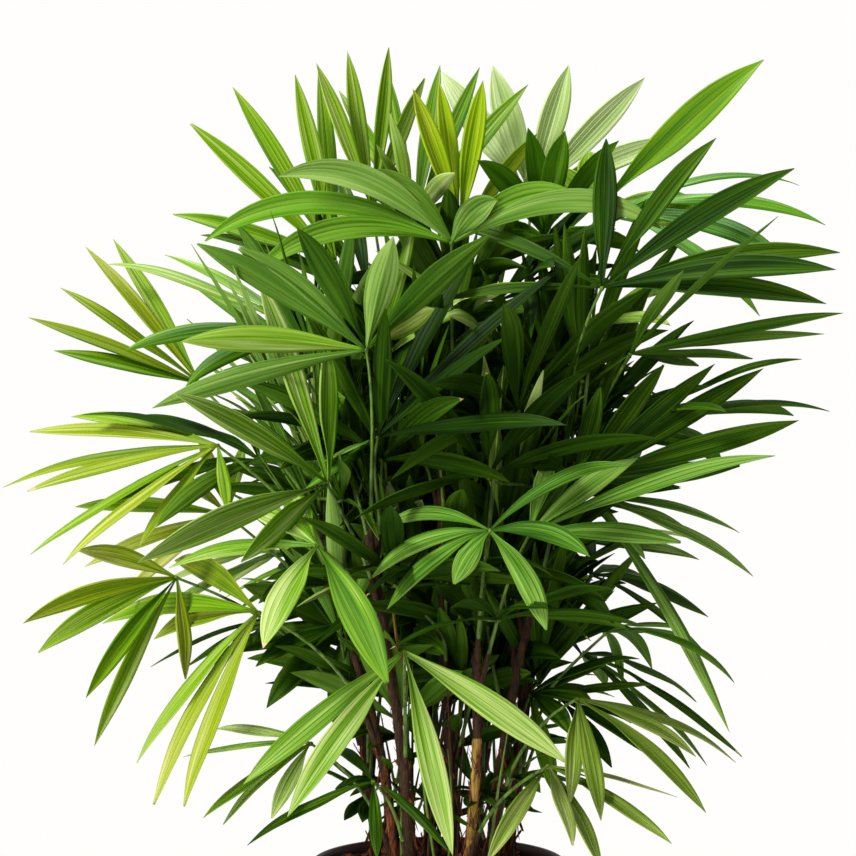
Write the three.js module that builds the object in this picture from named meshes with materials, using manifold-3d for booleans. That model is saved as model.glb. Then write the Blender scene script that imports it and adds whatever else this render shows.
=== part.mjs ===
// A lady palm in a round pot: nine slender canes rise from the soil, and each carries long-stalked
// fronds whose leaflets spread like the fingers of a hand. Millimetres, +Z up. The origin is the
// centre of the pot's flat underside, +X runs to the right of the front view, and -Y faces the front.

import * as THREE from "three";
import { mergeVertices } from "three/addons/utils/BufferGeometryUtils.js";
import Module from "manifold-3d";

const wasm = await Module();
wasm.setup();

// --- Driving dimensions -------------------------------------------------------------------------

const GAP = 0.3; // between any two pieces that touch
const SLIVER = 0.03; // edges shorter than this, left where solids join, are closed up

const POT_HEIGHT = 290;
const POT_FOOT_RADIUS = 112;
const POT_TOP_RADIUS = 152; // outside of the wall, just under the rim band
const POT_RIM_RADIUS = 161;
const POT_RIM_DEPTH = 20;
const POT_WALL = 4;
const POT_FLOOR = 5;
const POT_SEGMENTS = 36;
const SOIL_BELOW_RIM = 24;

const CANE_RADIUS = 8.5; // halfway up, with its fibre
const CANE_FOOT_SHARE = 1.08; // of that radius, at the soil
const CANE_TOP_SHARE = 0.8; // and at the tip
const CANE_FLARE = 1.45; // widening where the cane leaves the soil
const CANE_FLARE_HEIGHT = 30;
const CANE_SIDES = 6;
const CANE_STEPS = 7;

const STALK_BASE_RADIUS = 4.2;
const STALK_TIP_RADIUS = 2.7;
const STALK_HUB_RADIUS = 5.4; // the knob that the leaflets spring from
const STALK_SIDES = 4;
const STALK_STEPS = 4;
const STALK_BELOW_HUB = 110; // a stalk leaves its cane this far below the hub
const STALK_FALL = 0.55; // and lower still by this share of the hub's level distance from the cane
const STALK_BELOW_TIP = 20; // but not nearer than this to the cane's tip
const STALK_ABOVE_SOIL = 40; // nor than this to the soil
const STALK_HIGHEST_SHARE = 0.98; // of the cane's height, once a stalk has been moved up to get clear
const STALK_START_DEPTH = 0.45; // how far into the cane's radius a stalk starts before it is cut
const STALK_LEVEL_COST = 0.8; // how much the level distance adds when the nearest cane is chosen
const STALK_SHORT_RUN = 5; // a hub this near to its cane's line sets out along the fan instead
const STALK_RISE_OUT = 0.36; // how far up the first handle of a stalk's curve goes, of its span
const STALK_LEAN_OUT = 0.1; // and how far across
const STALK_REACH_IN = 0.34; // how far the last handle stands back from the hub, of its span
const STALK_LINE_UP = 0.5; // how much the fan's own direction counts in that handle
const FORK_SHARE = 0.3; // of an older frond's stalk, where a younger one leaves it
const FORK_SPAN = 500; // the lift, in millimetres, that moves that fork back by a whole stalk
const FORK_LOWEST_SHARE = 0.1; // however much it is moved
const FORK_HANDLE = 0.3; // of the younger stalk's span, along the older stalk

const LEAFLET_STEPS = 24; // steps along a leaflet's path
const STRAIGHT_SECTIONS = [8, 16]; // steps that carry a cross-section on a nearly straight leaflet
const ARCHED_SECTIONS = [7, 14, 20]; // and on one that arches over
const ARCHED_DROOP = 40; // the droop from which a leaflet counts as arched
const DROOP_AT_ROOT = 0.4; // the rate of bending at the root, of the average
const DROOP_GAIN = 1.2; // and how much that rate gains by the tip
const LEAFLET_THICKNESS_SHARE = 1 / 85; // of its length, at the keel
const CLEARANCE = 0.9; // kept round each stalk and leaflet of another frond
const TIP_ROOM = 4; // and this many times as much beyond a leaflet's tip
const OUTER_SHORTENING = 0.16; // of the length, for a leaflet square to the fan's middle
const OUTER_NARROWING = 0.2; // and of the width
const LEAFLET_STAGGER = 3; // degrees by which leaflets lie in turn above and below the fan
const TURN_SPREAD = 2; // degrees either way, in the fan
const TILT_SPREAD = 3; // and out of it
const TWIST_SPREAD = 12; // and about the leaflet's own length
const LENGTH_SPREAD = 0.07;
const WIDTH_SPREAD = 0.1;
const WEB_RADII = [20, 15, 11, 8]; // how far from the hub leaflets stay joined: the first with room
const WEB_CROWN = 1; // how far the hub stands up above the web
const WEB_SIDE = 0.18; // how far the web reaches past the first and the last leaflet
const WEB_STEP = 2; // the step of a leaflet's path that lies nearest to the web's edge
const WEB_HALF_WIDTH = 4; // room kept either side of a leaflet for its share of the web
const SIDE_SHARE = 0.48; // of the way to its neighbour, the most that a leaflet reaches sideways

// The share of a leaflet's full width along its length, from root to tip.
const WIDTH_AT = [
  [0, 0.16],
  [0.14, 0.34],
  [0.3, 0.68],
  [0.45, 0.92],
  [0.6, 1],
  [0.75, 0.86],
  [0.88, 0.52],
  [1, 0],
];

// Canes: foot x and y at the soil, tip x, y and z, and how far the middle bows along x and y.
const CANES = {
  cane_1: { foot: [-54, -40], tip: [-106, -66, 560], bow: [12, 6] },
  cane_2: { foot: [-32, -66], tip: [-84, -100, 690], bow: [8, -8] },
  cane_3: { foot: [24, -30], tip: [4, -46, 800], bow: [-6, 8] },
  cane_4: { foot: [30, -72], tip: [44, -92, 560], bow: [8, 4] },
  cane_5: { foot: [62, -34], tip: [122, -52, 640], bow: [-10, -6] },
  cane_6: { foot: [88, 6], tip: [158, 8, 780], bow: [-12, 4] },
  cane_7: { foot: [-76, 16], tip: [-150, 28, 720], bow: [10, 4] },
  cane_8: { foot: [-12, 44], tip: [-32, 84, 860], bow: [6, -6] },
  cane_9: { foot: [48, 62], tip: [98, 118, 760], bow: [-8, -6] },
};

// Fronds of the front and the sides, from the top down. hub is the point that the leaflets spring
// from. The fan's middle sets out at the azimuth (0 to the front, 90 to +X, 180 to the back) and the
// rise above level, and roll turns the fan about that line. Each leaflet is given by its angle in
// the fan, or by that angle and its share of the frond's leaflet length. droop is how far a leaflet
// bends down along its length. Angles are in degrees.
const FRONDS = [
  // hub, azimuth, rise, roll, leaflets, length, width, droop, tint
  [
    [16, -60, 1056], -12, 87, 10,
    [[-70, 1.15], [-62, 1.28], -45, [-33, 0.6], [30, 0.3], [46, 0.7], [57, 1.07]],
    258, 34, 72, "green",
  ],
  [
    [195, -120, 997], 84, 32, 67,
    [[-31, 0.95], -25, [-13, 1.05], [5, 0.93], [26, 0.82], [62, 0.8], [115, 1.2], [145, 1.2]],
    280, 30, 19, "deep",
  ],
  [
    [234, -60, 920], 72, 21, -13,
    [-58, [-39, 1.2], [18, 0.88], [42, 1.07], [52, 0.73], [75, 0.68], 119, 145],
    292, 25, 4, "deep",
  ],
  [
    [-86, -140, 922], -50, 58, 45,
    [[-76, 1.3], -56, -27, [-23, 0.88], [0, 0.7], [34, 0.6], 63, [76, 0.47]],
    240, 34, 14, "deep",
  ],
  [[-131, 60, 1042], -104, 65, -58, [-24, -10, 4, 22, [48, 0.9]], 266, 25, 10, "lime"],
  [[122, 150, 1132], 178, 78, 0, [-61, -43, [-16, 0.9], [13, 0.92], 31], 222, 38, 6, "pale"],
  [[209, 90, 1114], 88, 30, 66, [[-34, 0.5], 13, [70, 0.36], [108, 0.4]], 284, 52, 4, "lime"],
  [[222, 40, 1096], 84, 22, 40, [-48, -26, -4, 16, [40, 0.6]], 262, 30, 58, "green"],
  [[-84, 40, 1108], -90, 84, -70, [-28, -13, 2, 17], 198, 21, 6, "lime"],
  [[-30, 120, 1096], 95, 76, 70, [-24, -8, 8, 24, 42], 225, 24, 8, "green"],
  [[26, 0, 1082], -85, 86, -70, [-46, -12, 2, 16], 175, 27, 6, "straw"],
  [[-303, 40, 886], -82, 44, -46, [[-23, 1.07], [-11, 1.1], 7, [27, 1.1], 38], 210, 25, 6, "lime"],
  [
    [-274, -20, 808], -104, 4, -44,
    [[-20, 1.1], [-6, 1.12], [7, 1.2], 18, [43, 1.15], [56, 1.07], [68, 0.75], [115, 0.65]],
    240, 22, 14, "lime",
  ],
  [
    [-132, -150, 764], -56, 53, -76,
    [[-44, 0.73], [-33, 1.12], 24, [64, 1.2], [81, 0.7]],
    258, 34, 12, "green",
  ],
  [[-272, 90, 718], -92, 22, -56, [[-76, 0.7], [-52, 0.6], [-24, 0.5], 18, 40, 62], 212, 20, 16, "lime"],
  [
    [-321, -60, 647], -47, -30, -77,
    [[-57, 0.68], [-27, 1.12], -15, 6, [21, 1.2], [59, 0.73]],
    195, 25, 26, "lime",
  ],
  [
    [-214, -130, 610], -110, -29, -54,
    [-61, [-46, 1.25], [-34, 0.8], [25, 0.88], [36, 1.05], [54, 1.07]],
    252, 32, 27, "lime",
  ],
  [[-139, -230, 694], -56, -31, -23, [-116, [-99, 0.78], -57, [22, 0.8], [70, 1.15]], 204, 42, 20, "green"],
  [
    [58, -220, 712], -4, -75, 21,
    [[-121, 1.15], -97, -81, [-51, 0.38], [42, 0.73], [96, 0.75], [131, 1.3]],
    205, 29, 55, "green",
  ],
  [[107, -150, 704], 84, 18, 50, [[-14, 0.62], 2, 14, [30, 0.55], [66, 0.5]], 308, 29, 16, "green"],
  [
    [168, -60, 764], 105, 7, 99,
    [[-1, 0.85], [8, 1.12], [23, 1.15], [37, 0.88], [54, 0.75], [73, 0.5]],
    260, 28, 2, "deep",
  ],
  [
    [191, 20, 736], 84, -17, 32,
    [[-45, 1.28], [-30, 0.4], [16, 0.85], [28, 0.53], [39, 0.82]],
    280, 24, 40, "green",
  ],
  [[205, -40, 576], 71, 21, 0, [-36, [43, 0.47], [58, 0.85], 87, 101], 266, 19, 53, "deep"],
  [
    [165, -120, 506], 66, -35, 27,
    [[-58, 0.82], [-47, 0.9], 13, [29, 0.9], [41, 1.15]],
    192, 23, 28, "green",
  ],
  [[128, -160, 432], 29, -23, -1, [[-50, 1.18], -20, -4, 26, 73], 181, 23, 12, "green"],
  [[-40, -240, 575], 2, -74, 9, [-55, -37, 13, [57, 1.05]], 242, 33, 11, "green"],
  [[-156, -60, 444], -88, -13, -19, [-49, -24, 31, 46, [64, 0.85]], 176, 23, 12, "green"],
  [[-79, -90, 402], -82, -10, -27, [-79, 13, [83, 0.78], [124, 1.1]], 178, 21, 31, "deep"],
  [[-73, -100, 818], 65, 37, 44, [[-33, 1.12], [2, 0.8], [18, 1.15], [31, 0.95], 67], 270, 36, 10, "deep"],
  [[98, -60, 850], 30, 56, 10, [-84, -54, -26, 2, 30, 58, 84], 240, 30, 34, "deep"],
  [
    [-176, 0, 824], -29, 53, -27,
    [[-71, 0.82], [-61, 1.1], [-13, 1.2], -17, [15, 1.23]],
    232, 20, 2, "green",
  ],
  [[10, -70, 640], 10, 34, 0, [-86, -58, -30, 0, 28, 60, 88], 220, 30, 60, "deep"],
  [[196, 70, 640], 165, 20, 30, [-70, -42, -14, 14, 42, 70], 225, 30, 36, "deep"],
];

// Younger fronds in the heart, in the same terms. Each shares a node with the frond of the first
// number in the list above, and its stalk leaves the side of that frond's stalk.
const HEART_FRONDS = [
  // older frond, hub, azimuth, rise, roll, leaflets, length, width, droop, tint
  [29, [-70, -70, 790], -30, 60, 0, [-76, -44, -14, 16, 46, 76], 215, 28, 34, "deep"],
  [30, [60, -100, 770], 20, 50, 0, [-76, -44, -14, 16, 46, 76], 215, 28, 38, "deep"],
  [32, [-52, -100, 640], -20, 44, 0, [-76, -44, -14, 16, 46, 76], 205, 28, 38, "deep"],
  [19, [70, -120, 600], 30, 30, 0, [-76, -44, -14, 16, 46, 76], 190, 27, 38, "deep"],
  [31, [-120, -30, 740], -50, 50, -20, [-70, -40, -12, 16, 44, 72], 205, 27, 30, "green"],
];

// Fronds that fill the back of the crown, level by level: hub height, reach from the clump's middle,
// how many, the azimuths of the first and the last, rise, droop and tint. Each has a younger frond,
// nearer the clump's middle, whose stalk leaves the side of the first one's.
const FILL_LEVELS = [
  { height: 1010, reach: 110, count: 2, from: 140, to: 225, rise: 62, droop: 26, tint: "pale" },
  { height: 930, reach: 205, count: 4, from: 105, to: 255, rise: 34, droop: 38, tint: "green" },
  { height: 800, reach: 245, count: 4, from: 92, to: 262, rise: 22, droop: 38, tint: "deep" },
  { height: 670, reach: 235, count: 3, from: 140, to: 245, rise: 8, droop: 38, tint: "green" },
  { height: 560, reach: 190, count: 3, from: 125, to: 255, rise: -6, droop: 38, tint: "deep" },
];
const CLUMP_MIDDLE = [10, 10];
const FILL_LEAFLETS = [-78, -47, -16, 16, 47, 78];
const FILL_LENGTH = 235;
const FILL_WIDTH = 31;
// How far each fill frond strays from its even place, either way, in millimetres, degrees or shares.
const FILL_SPREAD = { around: 9, reach: 0.14, height: 38, facing: 16, rise: 12, roll: 24, length: 0.1 };
const INNER_LEAFLETS = [-66, -22, 22, 66];
const INNER_REACH_SHARE = 0.42; // of the outer frond's reach
const INNER_BELOW = 35; // under the outer frond's hub
const INNER_RISE = 62;
const INNER_LENGTH_SHARE = 0.9;
const INNER_SPREAD = { around: 30, facing: 90, rise: 12 };

// What is tried, smallest change first, to bring a stalk or a leaflet clear of the others: how far up
// or down its cane and how far aside a stalk goes, in millimetres; and the share of its length, the
// tilt out of the fan and the swing within it, in degrees, for a leaflet.
const STALK_LIFTS = [0, 25, -25, 50, -50, 75, -75, -100, -130, -160, -200, -240];
const STALK_SWERVES = [0, 12, -12, 24, -24, 36, -36, 50, -50, 64, -64];
const LEAFLET_SHARES = [1, 0.86, 0.72];
const LEAFLET_TILTS = [0, 6, -6, 12, -12, 18, -18];
const LEAFLET_SWINGS = [0, 4, -4, 8, -8];
const SHORTENING_COST = 90; // degrees that the loss of a whole leaflet's length would be worth

// Standard colours of the pieces: brown-black plastic, bark mulch, fibre-clad cane, and leaf tints.
const FINISH = {
  pot: { color: 0x2a1a16, roughness: 0.45, metalness: 0 },
  soil: { color: 0x3a2015, roughness: 0.95, metalness: 0 },
  cane: { color: 0x4d3822, roughness: 0.85, metalness: 0 },
  lime: { color: 0x8db52a, roughness: 0.5, metalness: 0 },
  green: { color: 0x4f8a2a, roughness: 0.45, metalness: 0 },
  deep: { color: 0x234f1c, roughness: 0.4, metalness: 0 },
  pale: { color: 0xa9c184, roughness: 0.55, metalness: 0 },
  straw: { color: 0xc2cc2c, roughness: 0.5, metalness: 0 },
};

// --- Small helpers ------------------------------------------------------------------------------

const UP = new THREE.Vector3(0, 0, 1);
const RIGHT_ANGLE = 90;
const MERGE_DISTANCE = 1e-3;
const radians = THREE.MathUtils.degToRad;
const lerp = THREE.MathUtils.lerp;

// A repeatable number between 0 and 1 for three whole numbers: the fraction of a large sine.
function chance(a, b, c) {
  const wave = Math.sin(a * 12.9898 + b * 78.233 + c * 37.719) * 43758.5453;
  return wave - Math.floor(wave);
}

// A repeatable number between -size and size.
function jitter(size, a, b, c) {
  return size * (2 * chance(a, b, c) - 1);
}

// The value at t of a curve given by rising [t, value] pairs, straight between them.
function along(pairs, t) {
  for (let i = 1; i < pairs.length; i++) {
    const [t0, v0] = pairs[i - 1];
    const [t1, v1] = pairs[i];
    if (t <= t1) return lerp(v0, v1, (t - t0) / (t1 - t0));
  }
  return pairs[pairs.length - 1][1];
}

// A solid from points and triangles whose faces point outwards.
function solidFrom(points, faces) {
  const vertProperties = new Float32Array(points.flatMap((p) => [p.x, p.y, p.z]));
  const triVerts = new Uint32Array(faces.flat());
  return new wasm.Manifold(new wasm.Mesh({ numProp: 3, vertProperties, triVerts }));
}

// A solid skinned over rings of points that run anticlockwise about the way forward. A last ring of
// a single point makes a pointed end.
function loft(rings) {
  const faces = [];
  let start = 0;
  for (let i = 0; i + 1 < rings.length; i++) {
    const sides = rings[i].length;
    const next = start + sides;
    for (let j = 0; j < sides; j++) {
      const k = (j + 1) % sides;
      if (rings[i + 1].length === 1) {
        faces.push([start + j, start + k, next]);
      } else {
        faces.push([start + j, start + k, next + k], [start + j, next + k, next + j]);
      }
    }
    start = next;
  }
  for (let j = 1; j + 1 < rings[0].length; j++) faces.push([0, j + 1, j]);
  const last = rings[rings.length - 1].length;
  for (let j = 1; j + 1 < last; j++) faces.push([start, start + j, start + j + 1]);
  return solidFrom(rings.flat(), faces);
}

// A closed surface from a lathe profile that starts and ends on the upright axis.
function latheGeometry(profile) {
  const points = profile.map(([radius, height]) => new THREE.Vector2(radius, height));
  const geometry = new THREE.LatheGeometry(points, POT_SEGMENTS);
  geometry.rotateX(Math.PI / 2);
  geometry.deleteAttribute("normal");
  geometry.deleteAttribute("uv");
  return mergeVertices(geometry, MERGE_DISTANCE);
}

function solidOfGeometry(geometry) {
  const vertProperties = new Float32Array(geometry.getAttribute("position").array);
  const triVerts = new Uint32Array(geometry.index.array);
  return new wasm.Manifold(new wasm.Mesh({ numProp: 3, vertProperties, triVerts }));
}

function geometryOf(solid) {
  const mesh = solid.getMesh();
  const positions = new Float32Array(mesh.numVert * 3);
  for (let i = 0; i < mesh.numVert; i++) {
    const first = i * mesh.numProp;
    positions.set(mesh.vertProperties.subarray(first, first + 3), i * 3);
  }
  const geometry = new THREE.BufferGeometry();
  geometry.setAttribute("position", new THREE.BufferAttribute(positions, 3));
  geometry.setIndex(new THREE.BufferAttribute(new Uint32Array(mesh.triVerts), 1));
  geometry.computeVertexNormals();
  return geometry;
}

function boxOf(solid) {
  const { min, max } = solid.boundingBox();
  return new THREE.Box3(new THREE.Vector3(...min), new THREE.Vector3(...max));
}

// --- Pot and soil -------------------------------------------------------------------------------

const SOIL_TOP = POT_HEIGHT - SOIL_BELOW_RIM;

// The radius of the pot wall's outer face at a height.
function potRadius(height) {
  return lerp(POT_FOOT_RADIUS, POT_TOP_RADIUS, height / (POT_HEIGHT - POT_RIM_DEPTH));
}

function potGeometry() {
  const underRim = POT_HEIGHT - POT_RIM_DEPTH;
  const roundTop = POT_WALL / 2;
  return latheGeometry([
    [0, 0],
    [POT_FOOT_RADIUS, 0],
    [POT_TOP_RADIUS, underRim],
    [POT_RIM_RADIUS - roundTop, underRim],
    [POT_RIM_RADIUS, underRim + roundTop],
    [POT_RIM_RADIUS, POT_HEIGHT - roundTop],
    [POT_RIM_RADIUS - roundTop, POT_HEIGHT],
    [potRadius(POT_HEIGHT) - POT_WALL, POT_HEIGHT],
    [potRadius(POT_FLOOR) - POT_WALL, POT_FLOOR],
    [0, POT_FLOOR],
  ]);
}

function soilGeometry() {
  const bottom = POT_FLOOR + GAP;
  const inset = POT_WALL + GAP;
  return latheGeometry([
    [0, bottom],
    [potRadius(bottom) - inset, bottom],
    [potRadius(SOIL_TOP) - inset, SOIL_TOP],
    [0, SOIL_TOP],
  ]);
}

// --- Canes --------------------------------------------------------------------------------------

// The middle of a cane at a share t of its height above the soil.
function caneMiddle(cane, t) {
  const swell = 4 * t * (1 - t);
  return new THREE.Vector3(
    lerp(cane.foot[0], cane.tip[0], t) + cane.bow[0] * swell,
    lerp(cane.foot[1], cane.tip[1], t) + cane.bow[1] * swell,
    lerp(SOIL_TOP + GAP, cane.tip[2], t),
  );
}

function caneRadius(cane, t) {
  const height = t * (cane.tip[2] - SOIL_TOP);
  const flare = CANE_FLARE - 1;
  const widening = 1 + flare * Math.max(0, 1 - height / CANE_FLARE_HEIGHT) ** 2;
  return CANE_RADIUS * lerp(CANE_FOOT_SHARE, CANE_TOP_SHARE, t) * widening;
}

// A cane with level rings: two close ones in the flare, then even steps up to the tip. It is made
// larger all round by extra.
function caneSolid(cane, extra) {
  const flareTop = CANE_FLARE_HEIGHT / (cane.tip[2] - SOIL_TOP);
  const shares = [0, flareTop / 2];
  for (let i = 0; i < CANE_STEPS; i++) shares.push(lerp(flareTop, 1, i / (CANE_STEPS - 1)));
  const rings = shares.map((t) => {
    const middle = caneMiddle(cane, t);
    const radius = caneRadius(cane, t) + extra;
    return Array.from({ length: CANE_SIDES }, (_, side) => {
      const angle = (2 * Math.PI * side) / CANE_SIDES;
      return new THREE.Vector3(Math.cos(angle), Math.sin(angle), 0).multiplyScalar(radius).add(middle);
    });
  });
  return loft(rings);
}

// --- Fronds: the list ---------------------------------------------------------------------------

function frondOf([hub, azimuth, rise, roll, leaflets, length, width, droop, tint]) {
  return { hub: new THREE.Vector3(...hub), azimuth, rise, roll, leaflets, length, width, droop, tint };
}

// The point at an azimuth and a reach from the clump's middle.
function around(azimuth, reach, height) {
  return new THREE.Vector3(
    CLUMP_MIDDLE[0] + reach * Math.sin(radians(azimuth)),
    CLUMP_MIDDLE[1] - reach * Math.cos(radians(azimuth)),
    height,
  );
}

// An outer fill frond at place i of a level, and the younger one on its stalk. The last number given
// to jitter only keeps one use of it apart from the next.
function fillPair(level, row, i) {
  const even = lerp(level.from, level.to, i / (level.count - 1));
  const azimuth = even + jitter(FILL_SPREAD.around, row, i, 1);
  const reach = level.reach * (1 + jitter(FILL_SPREAD.reach, row, i, 2));
  const height = level.height + jitter(FILL_SPREAD.height, row, i, 3);
  const outer = {
    hub: around(azimuth, reach, height),
    azimuth: azimuth + jitter(FILL_SPREAD.facing, row, i, 4),
    rise: level.rise + jitter(FILL_SPREAD.rise, row, i, 5),
    roll: jitter(FILL_SPREAD.roll, row, i, 6),
    leaflets: FILL_LEAFLETS,
    length: FILL_LENGTH * (1 + jitter(FILL_SPREAD.length, row, i, 7)),
    width: FILL_WIDTH,
    droop: level.droop,
    tint: level.tint,
  };
  const aside = jitter(INNER_SPREAD.around, row, i, 8);
  const inner = {
    ...outer,
    hub: around(azimuth + aside, reach * INNER_REACH_SHARE, height - INNER_BELOW),
    azimuth: azimuth + 2 * RIGHT_ANGLE + jitter(INNER_SPREAD.facing, row, i, 9),
    rise: INNER_RISE + jitter(INNER_SPREAD.rise, row, i, 10),
    leaflets: INNER_LEAFLETS,
    length: outer.length * INNER_LENGTH_SHARE,
    stem: outer,
  };
  return [outer, inner];
}

// Every frond: those of the front and the sides, the younger ones of the heart, then the fill.
function allFronds() {
  const front = FRONDS.map(frondOf);
  const heart = HEART_FRONDS.map(([older, ...row]) => ({ ...frondOf(row), stem: front[older - 1] }));
  const fill = FILL_LEVELS.flatMap((level, row) =>
    Array.from({ length: level.count }, (_, i) => fillPair(level, row, i)).flat(),
  );
  return [...front, ...heart, ...fill];
}

// The fan's own directions: out along its middle leaflet, sideways, and up from its upper face.
function fanDirections(frond) {
  const turn = radians(frond.azimuth);
  const rise = radians(frond.rise);
  const out = new THREE.Vector3(
    Math.sin(turn) * Math.cos(rise),
    -Math.cos(turn) * Math.cos(rise),
    Math.sin(rise),
  );
  const level = new THREE.Vector3().crossVectors(UP, out).normalize();
  const side = level.clone().applyAxisAngle(out, radians(frond.roll));
  return { out, side, face: new THREE.Vector3().crossVectors(out, side) };
}

// --- Fronds: the stalk --------------------------------------------------------------------------

const STALK_CHOICES = STALK_LIFTS.flatMap((lift) => STALK_SWERVES.map((swerve) => ({ lift, swerve })));
function stalkCost({ lift, swerve }) {
  return Math.abs(lift) + Math.abs(swerve);
}
STALK_CHOICES.sort((a, b) => stalkCost(a) - stalkCost(b));

// The share of a cane's height at which a frond leaves it: the further out its hub, the lower.
function stalkStart(frond, cane, lift) {
  const top = caneMiddle(cane, 1);
  const across = Math.hypot(frond.hub.x - top.x, frond.hub.y - top.y);
  const wanted = frond.hub.z - STALK_BELOW_HUB - STALK_FALL * across;
  const highest = cane.tip[2] - STALK_BELOW_TIP;
  const height = Math.max(Math.min(wanted, highest) + lift, SOIL_TOP + STALK_ABOVE_SOIL);
  const share = (height - SOIL_TOP - GAP) / (cane.tip[2] - SOIL_TOP - GAP);
  return Math.min(share, STALK_HIGHEST_SHARE);
}

// The cane that a frond's stalk reaches by the shortest way.
function nearestCane(frond) {
  const costOf = (cane) => {
    const start = caneMiddle(cane, stalkStart(frond, cane, 0));
    const level = Math.hypot(start.x - frond.hub.x, start.y - frond.hub.y);
    return start.distanceTo(frond.hub) + STALK_LEVEL_COST * level;
  };
  const names = Object.keys(CANES);
  return names.reduce((best, name) => (costOf(CANES[name]) < costOf(CANES[best]) ? name : best));
}

// Where a stalk starts and the first handle of its curve, as a share of its span: steeply upwards
// beside its cane, or along an older frond's stalk.
function stalkRoot(frond, choice) {
  if (frond.stem) {
    const { curve } = stalkCurve(frond.stem, frond.stem.stalk);
    const share = Math.max(FORK_SHARE - choice.lift / FORK_SPAN, FORK_LOWEST_SHARE);
    return { start: curve.getPoint(share), handle: curve.getTangent(share).multiplyScalar(FORK_HANDLE) };
  }
  const cane = CANES[frond.cane];
  const share = stalkStart(frond, cane, choice.lift);
  const middle = caneMiddle(cane, share);
  const across = new THREE.Vector3(frond.hub.x - middle.x, frond.hub.y - middle.y, 0);
  if (across.length() < STALK_SHORT_RUN) across.copy(fanDirections(frond).out).setZ(0);
  across.normalize();
  const start = middle.addScaledVector(across, caneRadius(cane, share) * STALK_START_DEPTH);
  const handle = UP.clone().multiplyScalar(STALK_RISE_OUT).addScaledVector(across, STALK_LEAN_OUT);
  return { start, handle };
}

// A stalk arches over from its root to the hub. Its two middle points swerve aside together.
function stalkCurve(frond, choice) {
  const { start, handle } = stalkRoot(frond, choice);
  const straight = frond.hub.clone().sub(start);
  const span = straight.length();
  const sideways = new THREE.Vector3().crossVectors(UP, straight).normalize();
  const arrive = fanDirections(frond).out.multiplyScalar(STALK_LINE_UP);
  arrive.add(straight.normalize()).normalize();
  const first = start.clone().addScaledVector(handle, span).addScaledVector(sideways, choice.swerve);
  const second = frond.hub.clone().addScaledVector(arrive, -STALK_REACH_IN * span);
  second.addScaledVector(sideways, choice.swerve);
  return { curve: new THREE.CubicBezierCurve3(start, first, second, frond.hub), sideways };
}

// Rings along the stalk, with a knob where the leaflets meet. It is made larger all round by extra.
function stalkSolid(frond, choice, extra) {
  const { curve, sideways } = stalkCurve(frond, choice);
  const rings = [];
  for (let i = 0; i <= STALK_STEPS + 1; i++) {
    const t = Math.min(i / STALK_STEPS, 1);
    const forward = curve.getTangent(t);
    const middle = curve.getPoint(t);
    if (i > STALK_STEPS) middle.addScaledVector(forward, STALK_HUB_RADIUS);
    const thin = lerp(STALK_BASE_RADIUS, STALK_TIP_RADIUS, t);
    const radius = (i === STALK_STEPS ? STALK_HUB_RADIUS : thin) + extra;
    const first = sideways.clone().addScaledVector(forward, -sideways.dot(forward)).normalize();
    const second = new THREE.Vector3().crossVectors(forward, first);
    rings.push(
      Array.from({ length: STALK_SIDES }, (_, side) => {
        const angle = (2 * Math.PI * side) / STALK_SIDES;
        const edge = middle.clone().addScaledVector(first, radius * Math.cos(angle));
        return edge.addScaledVector(second, radius * Math.sin(angle));
      }),
    );
  }
  return loft(rings);
}

// --- Fronds: the leaflets -----------------------------------------------------------------------

const LEAFLET_CHOICES = LEAFLET_SHARES.flatMap((share) =>
  LEAFLET_TILTS.flatMap((tilt) => LEAFLET_SWINGS.map((swing) => ({ share, tilt, swing }))),
);
function leafletCost({ share, tilt, swing }) {
  return SHORTENING_COST * (1 - share) + Math.abs(tilt) + Math.abs(swing);
}
LEAFLET_CHOICES.sort((a, b) => leafletCost(a) - leafletCost(b));

// The path of one leaflet: points from root to tip, each with the blade's way forward and sideways.
function leafletPath(frond, index, choice) {
  const { out, side, face } = fanDirections(frond);
  const { seed } = frond;
  const [turn, reach = 1] = [frond.leaflets[index]].flat();
  const outward = (turn / RIGHT_ANGLE) ** 2;
  const stagger = index % 2 ? LEAFLET_STAGGER : -LEAFLET_STAGGER;
  const angle = radians(turn + jitter(TURN_SPREAD, seed, index, 11) + choice.swing);
  const tilt = radians(stagger + jitter(TILT_SPREAD, seed, index, 12) + choice.tilt);
  const usual = frond.length * (1 - OUTER_SHORTENING * outward) * reach;
  const length = usual * (1 + jitter(LENGTH_SPREAD, seed, index, 13)) * choice.share;
  const broad = frond.width * (1 - OUTER_NARROWING * outward);
  const width = broad * (1 + jitter(WIDTH_SPREAD, seed, index, 14));
  const forward = out
    .clone()
    .multiplyScalar(Math.cos(angle) * Math.cos(tilt))
    .addScaledVector(side, Math.sin(angle) * Math.cos(tilt))
    .addScaledVector(face, Math.sin(tilt));
  const across = out.clone().multiplyScalar(-Math.sin(angle)).addScaledVector(side, Math.cos(angle));
  across.applyAxisAngle(forward, radians(jitter(TWIST_SPREAD, seed, index, 15)));
  const place = frond.hub.clone();
  const step = length / LEAFLET_STEPS;
  const stations = [{ place: place.clone(), forward: forward.clone(), across: across.clone() }];
  for (let i = 1; i <= LEAFLET_STEPS; i++) {
    const rate = DROOP_AT_ROOT + (DROOP_GAIN * i) / LEAFLET_STEPS;
    const before = forward.clone();
    forward.addScaledVector(UP, (-radians(frond.droop) * rate) / LEAFLET_STEPS).normalize();
    across.addScaledVector(forward, -across.dot(forward)).normalize();
    place.addScaledVector(before.add(forward), step / 2);
    stations.push({ place: place.clone(), forward: forward.clone(), across: across.clone() });
  }
  return { stations, length, width };
}

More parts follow.
